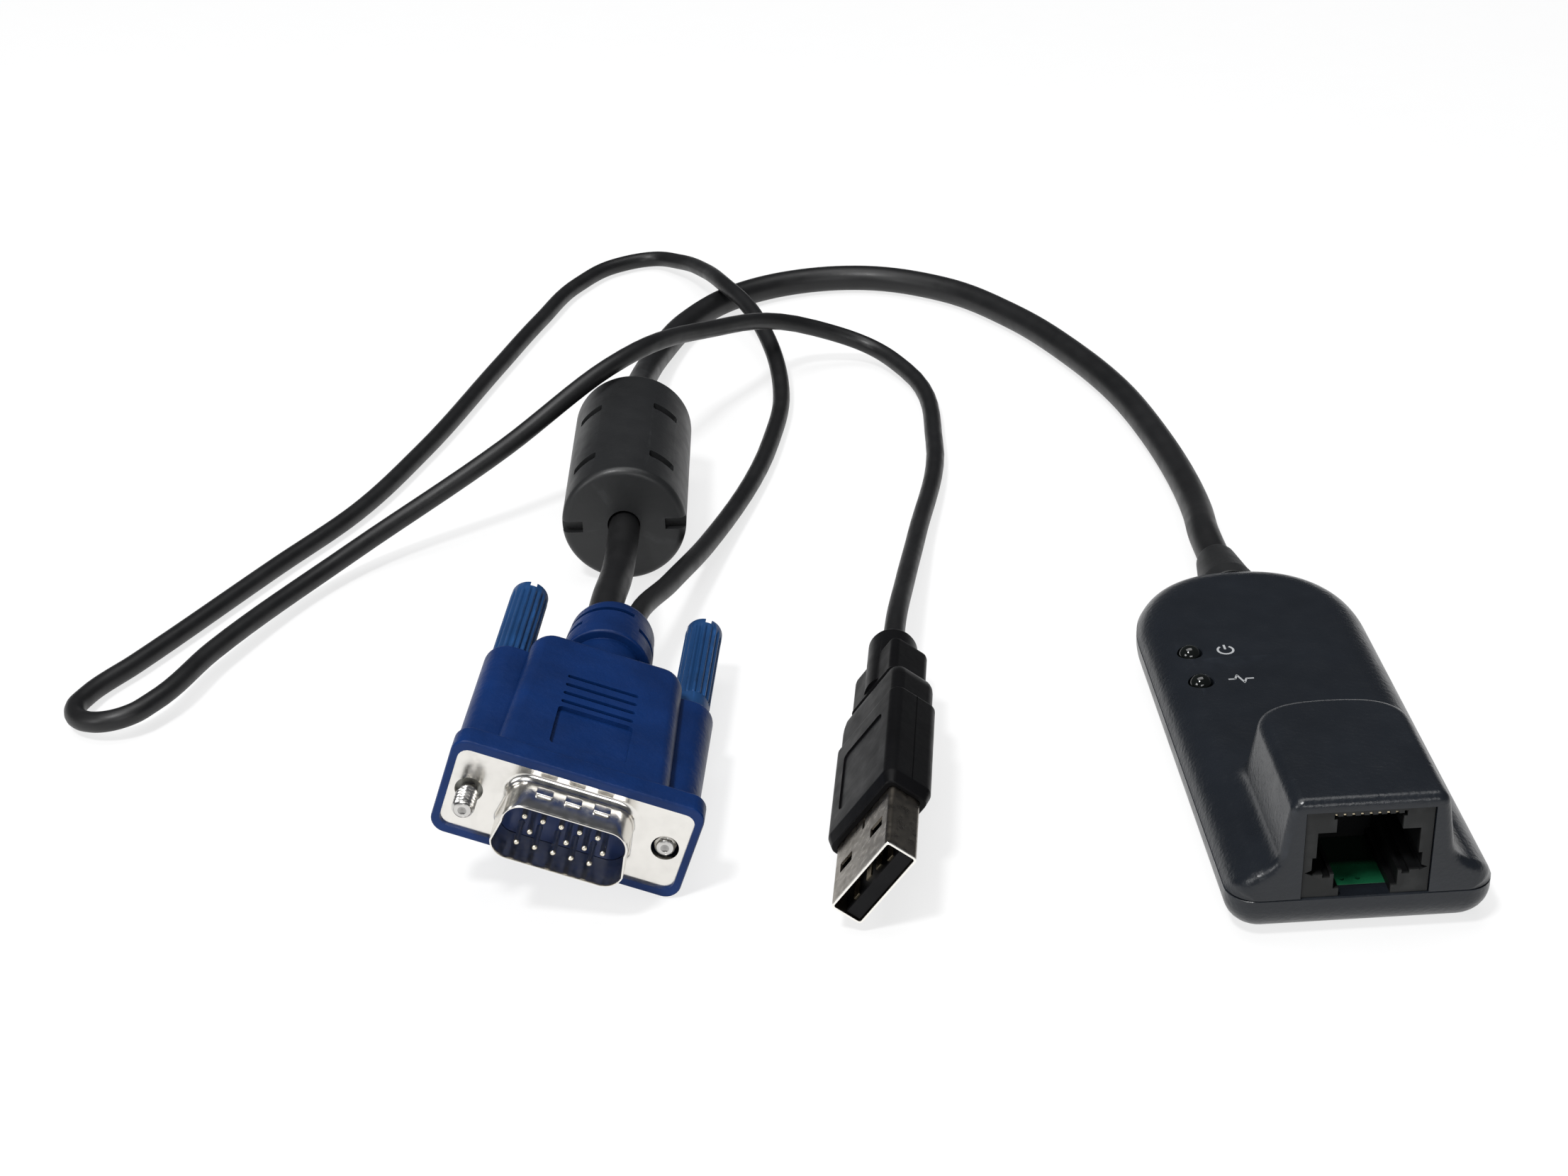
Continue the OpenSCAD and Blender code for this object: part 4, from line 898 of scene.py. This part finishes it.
def strain_relief():
    root_r, flat = 4.8, 3.05
    profile = [
        (0, SEAT_Y - 1), (root_r, SEAT_Y - 1), (root_r, SEAT_Y), (RELIEF_NECK_R, SEAT_Y),
        (RELIEF_NECK_R, RELIEF_STEP_Y), (RELIEF_R - 0.1, RELIEF_STEP_Y),
        (RELIEF_R, RELIEF_STEP_Y + 0.15), (RELIEF_R, TAIL_Y), (4.05, TAIL_Y + 0.5),
        (3, RELIEF_END_Y - 0.5), (2.9, RELIEF_END_Y - 0.2), (2.7, RELIEF_END_Y),
        (0, RELIEF_END_Y)]
    flange = lathe("strain_relief_moulding", profile, 56, (0, RELIEF_Z))
    cut(flange, *[block("flat", (-6, SEAT_Y - 2, z0), (6, SEAT_Y + 0.1, z1))
                  for z0, z1 in ((RELIEF_Z + flat, 12), (-4, RELIEF_Z - flat))])
    finish(flange, "relief", "strain_relief", 28)


# Leads

def lead(name, route, diameter, node):
    """Smooth round lead through the points of its route."""
    line = bpy.data.curves.new(name, "CURVE")
    line.dimensions = "3D"
    line.resolution_u = 8
    line.bevel_depth = 1
    line.bevel_resolution = 6
    line.use_fill_caps = True
    points = [Vector(p) * MM for p in route]
    spline = line.splines.new("BEZIER")
    spline.bezier_points.add(len(points) - 1)
    for i, p in enumerate(points):
        before = points[i - 1] if i else 2 * p - points[1]
        after = points[i + 1] if i < len(points) - 1 else 2 * p - points[i - 1]
        back, on = (p - before).length, (after - p).length
        way = ((p - before) * on / back + (after - p) * back / on).normalized()
        knot = spline.bezier_points[i]
        knot.handle_left_type = knot.handle_right_type = "FREE"
        knot.co = p
        knot.radius = diameter / 2
        knot.handle_left = p - way * back / HANDLE_PART
        knot.handle_right = p + way * on / HANDLE_PART
    obj = linked(name, line)
    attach(obj, "module")
    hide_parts(node)
    line.materials.append(FINISHES["cable"])


def leads():
    sizes = bpy.context.scene.module_sizes
    lead("thick_lead", LEAD_ROUTE, sizes.lead_d, "module_lead")
    lead("thin_lead", THIN_ROUTE, sizes.thin_d, "usb_lead")


def route_length(obj):
    return sum(s.calc_length() for s in obj.data.splines)


# Choke

def choke():
    r, half, rim = CHOKE_R, CHOKE_L / 2, 1.2
    ends = arc(rim, 0, 90, 6, r - rim, half - rim)
    profile = [(0, -half)] + [(x, -y) for x, y in reversed(ends)] + ends + [(0, half)]
    cover = lathe("choke_moulding", profile, 96)
    cutters = [bar("core room", r - CHOKE_WALL, -16, 16, sides=72),
               bar("lead hole", 2.5, -half - 2, half + 2)]
    for share in CHOKE_SLOT_SHARES:
        for angle in CHOKE_SLOT_TURNS:
            outline = rounded(4.6, 2.1, 0.4, 4, 0, share * CHOKE_L)
            slot = slab("slot", outline, r - CHOKE_WALL - 0.1, r + OVER)
            slot.data.transform(Matrix.Rotation(math.radians(angle), 4, "Y"))
            cutters.append(slot)
    for side in (-1, 1):
        for end in (-1, 1):
            x0, x1 = sorted((side * (r - 3.2), side * (r + OVER)))
            y0, y1 = sorted((end * (half - 1.4), end * (half + OVER)))
            cutters.append(block("notch", (x0, y0, -0.9), (x1, y1, 0.9)))
    cut(cover, *cutters)
    finish(cover, "choke", "choke_cover", 30, CHOKE, bevel=0.12)


# Video plug

def shrunk(w, h, r, inset, steps, x=0):
    """Round-cornered rectangle, drawn in all round."""
    return rounded(w - 2 * inset, h - 2 * inset, r - inset, steps, x)


def through(name, outline, rows):
    """Solid through the outlines for (depth, inset) rows."""
    return loft(name, along_y([(y, outline(inset)) for y, inset in rows]))


def on_side(obj, side, x, y, z):
    """Moves a shape to the upper side (1), or as its mirror image to the lower one (-1)."""
    obj.data.transform(Matrix.Translation((x, y, side * z)) @ Matrix.Scale(side, 4, (0, 0, 1)))
    return obj


def hood_block():
    """Tapered block with a half-round back, and a soft edge round its top and bottom there."""
    edge, straight = 1.2, HOOD_L - HOOD_BACK_R
    depths = [FRAME_BACK - 1.5, 6, 12, 18, 24, straight]
    depths += [straight + HOOD_BACK_R * math.sin(a) for a in turn_points(12, 0, 90)[1:]]
    rings = []
    for y in depths:
        share = min(1, (y - FRAME_BACK) / (straight - FRAME_BACK))
        w = HOOD_W - HOOD_TAPER_W * share - 2 * drawn_in(HOOD_BACK_R, HOOD_L, y)
        h = HOOD_H - HOOD_TAPER_H * share - 2 * drawn_in(edge, HOOD_L, y)
        rings.append((y, rounded(w, h, 1.9, 8)))
    return loft("video_hood_moulding", along_y(rings))


def wing(side):
    w, h, r, edge, x = 7.6, 8.2, 3.2, 0.8, side * 11.9
    rows = [(1.6, 0)] + [(WING_L - y, inset) for y, inset in edge_rows(edge, 5)]
    return through("wing", lambda inset: shrunk(w, h, r, inset, 9, x), rows)


def plug_frame():
    back = FRAME_BACK
    rows = [(-0.4, 0.35), (-0.3, 0.12), (-0.1, 0), (back - 0.6, 0), (back - 0.2, 0.18), (back, 0.6)]
    return through("frame", lambda inset: shrunk(FRAME_W, FRAME_H, 2, inset, 7), rows)


def boot():
    """Round boot behind the hood: a neck, a small front edge, a slight taper and a soft crown."""
    root, edge, flat_r, crown_r, crown_l = HOOD_L - 3, 0.35, 4.5, 1.4, 1.6
    profile = [(0, root), (5, root), (5, BOOT_FRONT_Y - 0.2), (5.1, BOOT_FRONT_Y)]
    profile += arc(edge, -90, 0, 4, BOOT_R - edge, BOOT_FRONT_Y + edge)
    profile += [(6.25, 38), (6.1, 41), (5.9, BOOT_END_Y - 2)]
    profile += [(flat_r + crown_r * math.cos(a), BOOT_END_Y - crown_l + crown_l * math.sin(a))
                for a in turn_points(7, 0, 90)]
    return lathe("boot", profile + [(0, BOOT_END_Y)], 64)


def boot_slot(start, end, y, floor):
    """Cutter for a slot round part of the boot, down to the radius floor."""
    outline = arc(9, start, end, 24) + arc(floor, end, start, 24)
    return prism("boot slot", outline, y - 0.45, y + 0.45)


def video_hood():
    hood = hood_block()
    add(hood, plug_frame(), wing(-1), wing(1), boot())
    deep = mm("groove_deep")
    cutters = [
        prism("flange window", rounded(30, 11.6, 1.4, 5), -2, 0.3),
        prism("flange room", rounded(31, 12.7, 1.4, 5), 0, 0.9),
        block("insulator room", (-9.1, 0, -4.4), (9.1, 6.6, 4.4)),
    ]
    for turn in (0, 180):
        cutters.append(boot_slot(turn - 40, turn + 62, 39.3, 5.2))
        cutters.append(boot_slot(turn + 72, turn + 175, 42, 4.9))
    hole_r, mouth_r = KNOB_R + 0.2, KNOB_R + 0.6
    knob_room = [(hole_r, WING_L - 5.8), (hole_r, WING_L - 0.35), (mouth_r, WING_L + 0.05),
                 (mouth_r, HOOD_L + 1)]
    for side in (-1, 1):
        x = side * SCREW_X
        cutters.append(bar("neck hole", NECK_R + 0.08, -OVER, WING_L, x))
        cutters.append(bar("ring chamber", 2.3, -OVER, 7.6, x))
        cutters.append(lathe("knob socket", knob_room, 56, (x, 0)))
        for i in range(4):
            y = GROOVE_START_Y + GROOVE_PITCH * i
            groove = slab("groove", rounded(9.5, 0.7, 0.33, 4, 0, y), -deep, deep)
            half = (HOOD_H - HOOD_TAPER_H * (y - FRAME_BACK) / 25) / 2
            groove.data.transform(Matrix.Translation((0, 0, side * half)))
            cutters.append(groove)
        recess = slab("recess", rounded(9.8, 8.8, 0.7, 5, 0, 9.8), -0.6, 0.8)
        cutters.append(on_side(recess, side, 0, 0, 6.3))
    cut(hood, *cutters)
    finish(hood, "hood", "vga_hood", 34, VIDEO)


def shroud_outline(inset):
    """D-shaped outline of the shroud, drawn in, or let out where inset is below 0."""
    r, high, low_x = SHROUD_R - inset, SHROUD_HALF_H - SHROUD_R, 5.85
    high_x = low_x - 2 * high * math.tan(math.radians(10))
    return (arc(r, 270, 350, 10, low_x, -high) + arc(r, -10, 90, 10, high_x, high)
            + arc(r, 90, 190, 10, -high_x, high) + arc(r, 190, 270, 10, -low_x, -high))


def video_shell():
    rows = [(0.8, 0.12), (0.68, 0), (0.12, 0), (0, 0.12)]
    flange = through(
        "video_shell_plate", lambda inset: shrunk(30.8, 12.5, 1.4, inset, 6), rows)
    flare = 0.9
    foot = [(-y, -out) for out, y in edge_rows(flare, 9)]
    tip = [(-SHROUD_L + 0.4, 0), (-SHROUD_L + 0.1, 0.05), (-SHROUD_L, 0.14)]
    shroud = through("shroud", shroud_outline, [(0.4, -flare)] + foot + tip)
    dome = along_z([(z, shrunk(2.1, 1.5, 0.24, inset, 4))
                    for z, inset in ((-0.4, 0), (0.26, 0), (0.33, 0.04), (0.36, 0.12))])
    bumps = [on_side(loft("bump", dome), side, x, -2.3, SHROUD_HALF_H)
             for x in (-3.6, 0, 3.6) for side in (-1, 1)]
    add(flange, shroud, *bumps)
    holes = [bar("screw hole", 1.75, -OVER, 2, side * SCREW_X) for side in (-1, 1)]
    mouth = through("mouth", shroud_outline, [(1.8, 0.4), (-5.6, 0.4), (-5.92, 0.25), (-7, 0.25)])
    cut(flange, mouth, *holes)
    finish(flange, "nickel", "vga_shell", 30, VIDEO)


def pins():
    """Three rows of pins. The second place of the middle row is left empty."""
    tip = arc(PIN_R, -75, 0, 5, 0, PIN_R - PIN_OUT)
    profile = [(0, -PIN_OUT), *tip, (PIN_R, 5), (0, 5)]
    made = []
    for row in (-1, 0, 1):
        shift = PIN_PITCH / 4 if row == 0 else -PIN_PITCH / 4
        for i in range(5):
            if (row, i) != (0, 1):
                centre = ((i - 2) * PIN_PITCH + shift, row * PIN_ROW_PITCH)
                made.append(lathe("pin", profile, 20, centre))
    finish(together("video_pins", made), "pin", "vga_pins", 40, VIDEO)


def screw_rings():
    """Rings of a screw with a real thread and a blunt tip, back to its end inside the knob."""
    per_turn, steps = 28, 9
    rows = int(THREAD_L / THREAD_PITCH * steps)
    rings = []

    def ring(y, radius):
        rings.append([])
        for j in range(per_turn):
            a, r = 2 * math.pi * j / per_turn, radius(j / per_turn)
            rings[-1].append((r * math.cos(a), y, r * math.sin(a)))

    for i in range(rows + 1):
        y = THREAD_L * i / rows
        ends = min(1, max(0, (y - 0.05) / 0.55), max(0, (THREAD_L - 0.05 - y) / 0.45))
        ring(y, lambda turn: THREAD_R - THREAD_DEEP + THREAD_DEEP * ends
             * (1 - abs(2 * ((y / THREAD_PITCH + turn) % 1) - 1)) ** 0.8)
    for y in (THREAD_L + 0.05, SCREW_OUT + KNOB_FRONT + NECK_IN_KNOB):
        ring(y, lambda turn: NECK_R)
    tip = [[(share * x, y, share * z) for x, _, z in rings[0]]
           for share, y in ((0.75, 0), (1, 0.12))]
    return tip + rings[1:]


def knob_outline(r, deep, steps=8):
    """Round outline with flutes of the given depth."""
    count = steps * int(bpy.context.scene.module_sizes.flutes)
    points = []
    for j in range(count):
        a = 2 * math.pi * j / count
        wave = (0.5 - 0.5 * math.cos(2 * math.pi * j / steps)) ** 1.6
        points.append(((r - deep * wave) * math.cos(a), (r - deep * wave) * math.sin(a)))
    return points


def thumbscrew(side, out, body, prefix):
    """Steel screw with a real thread, and its fluted knob."""
    x = side * SCREW_X
    screw = loft(prefix + "_screw_steel", screw_rings())
    screw.data.transform(Matrix.Translation((x, -out, 0)))
    dimple = [(0.55, -out - 1), (0.55, -out + 0.05), (0, -out + 0.3)]
    cut(screw, lathe("dimple", dimple, 20, (x, 0)))
    finish(screw, "steel", prefix + "_screw", 50, VIDEO, body, tidy=False)

    start, end, inner = KNOB_FRONT + KNOB_IN_L, KNOB_FRONT + KNOB_L, KNOB_R - 0.14
    stack = [
        (KNOB_FRONT, inner - 0.25, 0), (KNOB_FRONT + 0.25, inner, 0), (start, inner, 0),
        (start + 0.05, KNOB_R - 0.1, 0.2), (start + 0.2, KNOB_R, 0.3), (end - 2.6, KNOB_R, 0.3),
        (end - 1.8, KNOB_R, 0), (end - 0.35, KNOB_R - 0.02, 0), (end - 0.1, KNOB_R - 0.16, 0),
        (end, KNOB_R - 0.4, 0)]
    outlines = [(y, knob_outline(r, deep)) for y, r, deep in stack]
    knob = loft(prefix + "_knob_moulding", along_y(outlines))
    neck_hole = bar("neck hole", NECK_R + 0.02, KNOB_FRONT - OVER, KNOB_FRONT + NECK_IN_KNOB + 0.1)
    slots = [block("cross", (-w, end - 1.3, -h), (w, end + OVER, h))
             for w, h in ((4, 0.45), (0.45, 4))]
    cut(knob, neck_hole, *slots)
    knob.data.transform(Matrix.Translation((x, SCREW_OUT - out, 0)))
    finish(knob, "knob", prefix + "_knob", 48, VIDEO, body)


# Flat plug

def flat_grip():
    band, step, back, neck = GRIP_BAND_Y, GRIP_STEP_Y, 41.5, 50
    # Depth, how much narrower and thinner than the band, corner radius
    stack = [
        (12, 1.3, 1.3, 0.9), (12.12, 1, 1, 1), (band - 0.15, 0.06, 0.06, 1.4), (band, 0, 0, 1.4),
        (band + 0.2, 0, 0, 1.4), (step - 0.2, 0, 0, 1.4), (step, 0.02, 0.02, 1.4),
        (step + 0.12, 0.12, 0.12, 1.4), (step + 0.5, 0.55, 0.55, 1.4),
        (step + 0.65, 0.6, 0.6, 1.4), (back - 3.5, 0.6, 0.6, 1.4), (back - 2.4, 0.85, 0.63, 1.4),
        (back - 1.4, 1.5, 0.7, 1.4), (back - 0.5, 2.7, 1.2, 1.4), (back, 3.4, 1.7, 1.3),
        (back + 0.12, 4.1, 0.95, 1), (back + 0.5, 4.2, 1.1, 1), (neck - 1, 4.2, 1.1, 1),
        (neck - 0.4, 4.4, 1.2, 1), (neck, 5.2, 1.8, 1)]
    grip = loft("flat_grip_moulding", along_y([
        (y, rounded(GRIP_W - narrower, GRIP_T - thinner, r, 7))
        for y, narrower, thinner, r in stack]))
    end = GRIP_END_Y
    add(grip, lathe("collar", [
        (0, back + 1), (3.4, back + 1), (3.4, end - 0.8), (3.2, end - 0.3), (2.8, end), (0, end)]))
    room = rounded(USB_W + 0.1, USB_T + 0.1, USB_R, 4)
    cutters = [prism("shell room", room, 11, USB_L + USB_TUCK + 0.1)]
    for side in (-1, 1):
        panel = slab("panel", rounded(8.6, 13, 1, 5, 0, 23.6), -0.22, 0.6)
        cutters.append(on_side(panel, side, 0, 0, GRIP_T / 2))
        x = side * GRIP_W / 2
        cutters.append(block("seam", (x - 0.08, band, -0.07), (x + 0.08, step, 0.07)))
    cut(grip, *cutters)
    finish(grip, "grip", "usb_grip", 32, FLAT)


def flat_shell():
    end = USB_L + USB_TUCK
    tube = through(
        "flat_shell_metal", lambda inset: shrunk(USB_W, USB_T, USB_R, inset, 6),
        [(0, 0.06), (0.08, 0), (end, 0)])
    inside = [prism("room", shrunk(USB_W, USB_T, USB_R, USB_WALL, 5), -OVER, end + OVER)]
    for x in (-3.2, 3.2):
        inside.append(slab("window", rounded(2.5, 2, 0.15, 3, x, 6.16), -USB_T, USB_T))
    inside.append(slab("stamped slit", rounded(0.5, 2.2, 0.24, 4, 0.2, 10.4), 1.5, USB_T))
    cut(tube, *inside)
    finish(tube, "shell", "usb_shell", 35, FLAT)


# Camera and stage

def camera():
    data = bpy.data.cameras.new("camera")
    data.lens = CAMERA_LENS
    data.sensor_width = 36
    data.clip_start = 0.01
    data.clip_end = 20
    obj = linked("camera", data)
    forward = Vector(CAMERA_FORWARD).normalized()
    up = Vector(CAMERA_RIGHT).cross(forward).normalized()
    turn = Matrix((forward.cross(up), up, -forward)).transposed().to_4x4()
    obj.matrix_world = Matrix.Translation(Vector(CAMERA_AT) * MM) @ turn
    bpy.context.scene.camera = obj


def soft_light(name, at, towards, size, watts):
    data = bpy.data.lights.new(name, "AREA")
    data.shape = "RECTANGLE"
    data.size, data.size_y = size
    data.energy = watts
    obj = linked(name, data)
    obj.location = at
    obj.rotation_mode = "QUATERNION"
    obj.rotation_quaternion = (Vector(towards) - Vector(at)).to_track_quat("-Z", "Y")


def white_where_seen(n, share):
    """Adds white to what the camera, a gloss or a glass sees, and keeps the shadows."""
    path = n.new("LightPath").outputs
    seen = path["Is Camera Ray"]
    for name in ("Is Glossy Ray", "Is Transmission Ray"):
        seen = n.calc("MAXIMUM", seen, path[name])
    glow = n.new("Emission", {"Strength": 1}).outputs["Emission"]
    shader = n.shader.outputs["BSDF"]
    blend = n.new("MixShader", {0: n.calc("MULTIPLY", seen, share), 1: shader, 2: glow})
    n.fill(n.tree.nodes["Material Output"], {"Surface": blend.outputs["Shader"]})


def stage():
    corners = [(x * FLOOR_HALF, y * FLOOR_HALF, 0) for x, y in ((-1, -1), (1, -1), (1, 1), (-1, 1))]
    mesh = bpy.data.meshes.new("floor")
    mesh.from_pydata(corners, [], [(0, 1, 2, 3)])
    floor = linked("floor", mesh)
    floor.location.z = cad_box[0].z - 0.0002
    paper = moulding("Floor paper", (0.92, 0.92, 0.92), 0.9, 0.4, 0.01, 0.1, 0, 0, 0.01)
    white_where_seen(paper, 0.76)
    mesh.materials.append(paper.material)
    for light in LIGHTS:
        soft_light(*light)
    world = bpy.data.worlds.new("room")
    world.use_nodes = True
    world.node_tree.nodes["Background"].inputs["Color"].default_value = (0.07, 0.073, 0.08, 1)
    world.node_tree.nodes["Background"].inputs["Strength"].default_value = 1
    bpy.context.scene.world = world
    bpy.context.scene.view_settings.view_transform = "Standard"


CAD_FINISHES = {
    "shell_screws": "fixing", "circuit_board": "board", "main_chip": "chip",
    "video_chip": "chip", "memory_chip": "chip", "crystal": "can", "capacitors": "ceramic",
    "cable_header": "header", "inner_wires": "wire", "jack_contacts": "gold",
    "ferrite_core": "ferrite", "vga_insulator": "insulator", "left_screw_collar": "collar",
    "right_screw_collar": "collar", "usb_tongue": "tongue", "usb_contacts": "gold",
}


def dress_nodes():
    for node, look in CAD_FINISHES.items():
        obj = frame["nodes"][node]
        materials = obj.data.materials
        for i in range(len(materials)):
            materials[i] = FINISHES[look]
        if not materials:
            materials.append(FINISHES[look])
        soft_edges(obj, 0.04, 1)


def named(*names):
    return [bpy.data.objects[n] for n in names]


def declare_leads():
    """Works out how long each lead is, and keeps nothing of it. Both show from end to end in the
    photo.
    """
    thick, thin = named("thick_lead", "thin_lead")
    round(route_length(thick), 3)
    round(route_length(thin), 3)


class MODULE_OT_camera_and_leads(bpy.types.Operator):
    """Makes the camera and the two leads"""

    bl_idname = "module.camera_and_leads"
    bl_label = "Camera and leads"

    def execute(self, context):
        make_finishes()
        camera()
        leads()
        return {"FINISHED"}


class MODULE_OT_housing(bpy.types.Operator):
    """Makes the two shells of the housing"""

    bl_idname = "module.housing"
    bl_label = "Housing shells"

    def execute(self, context):
        top_shell()
        bottom_shell()
        return {"FINISHED"}


class MODULE_OT_socket(bpy.types.Operator):
    """Makes the network socket's block"""

    bl_idname = "module.socket"
    bl_label = "Network socket"

    def execute(self, context):
        socket_body()
        return {"FINISHED"}


class MODULE_OT_lamps(bpy.types.Operator):
    """Makes the two lamps and the marks beside them"""

    bl_idname = "module.lamps"
    bl_label = "Lamps and marks"

    def execute(self, context):
        lamps()
        marks()
        return {"FINISHED"}


class MODULE_OT_relief(bpy.types.Operator):
    """Makes the strain relief at the housing's tail"""

    bl_idname = "module.relief"
    bl_label = "Strain relief"

    def execute(self, context):
        strain_relief()
        return {"FINISHED"}


class MODULE_OT_choke(bpy.types.Operator):
    """Makes the slotted cover of the choke"""

    bl_idname = "module.choke"
    bl_label = "Choke cover"

    def execute(self, context):
        choke()
        return {"FINISHED"}


class MODULE_OT_video_plug(bpy.types.Operator):
    """Makes the video plug's hood, shell and pins"""

    bl_idname = "module.video_plug"
    bl_label = "Video plug"

    def execute(self, context):
        video_hood()
        video_shell()
        pins()
        return {"FINISHED"}


class MODULE_OT_thumbscrews(bpy.types.Operator):
    """Makes the two thumbscrews"""

    bl_idname = "module.thumbscrews"
    bl_label = "Thumbscrews"

    def execute(self, context):
        thumbscrew(-1, SCREW_OUT, "left_thumbscrew", "left")
        thumbscrew(1, SCREW_OUT - SCREW_TRAVEL, "right_thumbscrew", "right")
        return {"FINISHED"}


class MODULE_OT_flat_plug(bpy.types.Operator):
    """Makes the flat plug's grip and shell"""

    bl_idname = "module.flat_plug"
    bl_label = "Flat plug"

    def execute(self, context):
        flat_grip()
        flat_shell()
        return {"FINISHED"}


class MODULE_OT_cad_nodes(bpy.types.Operator):
    bl_idname = "module.cad_nodes"
    bl_label = "Kept solids and leads"

    def execute(self, context):
        dress_nodes()
        declare_leads()
        return {"FINISHED"}


class MODULE_OT_stage(bpy.types.Operator):
    """Makes the floor, the lights and the room"""

    bl_idname = "module.stage"
    bl_label = "Stage"

    def execute(self, context):
        stage()
        return {"FINISHED"}


OPERATORS = (
    MODULE_OT_camera_and_leads, MODULE_OT_housing, MODULE_OT_socket, MODULE_OT_lamps,
    MODULE_OT_relief, MODULE_OT_choke, MODULE_OT_video_plug, MODULE_OT_thumbscrews,
    MODULE_OT_flat_plug, MODULE_OT_cad_nodes, MODULE_OT_stage,
)


class MODULE_PT_panel(bpy.types.Panel):
    """Lists the sizes, colours and operators"""

    bl_idname = "MODULE_PT_panel"
    bl_label = "Server interface module"
    bl_space_type = "VIEW_3D"
    bl_region_type = "UI"
    bl_category = "Module"

    def draw(self, context):
        for group in (context.scene.module_sizes, context.scene.module_colours):
            for name in group.__annotations__:
                self.layout.prop(group, name)
        for operator in OPERATORS:
            self.layout.operator(operator.bl_idname)


CLASSES = (ModuleSizes, ModuleColours, *OPERATORS, MODULE_PT_panel)


def register():
    for cls in CLASSES:
        bpy.utils.register_class(cls)
    bpy.types.Scene.module_sizes = bpy.props.PointerProperty(type=ModuleSizes)
    bpy.types.Scene.module_colours = bpy.props.PointerProperty(type=ModuleColours)


def unregister():
    del bpy.types.Scene.module_sizes
    del bpy.types.Scene.module_colours
    for cls in reversed(CLASSES):
        bpy.utils.unregister_class(cls)


def main():
    register()
    for operator in OPERATORS:
        group, name = operator.bl_idname.split(".")
        getattr(getattr(bpy.ops, group), name)()


if __name__ == "__main__":
    main()
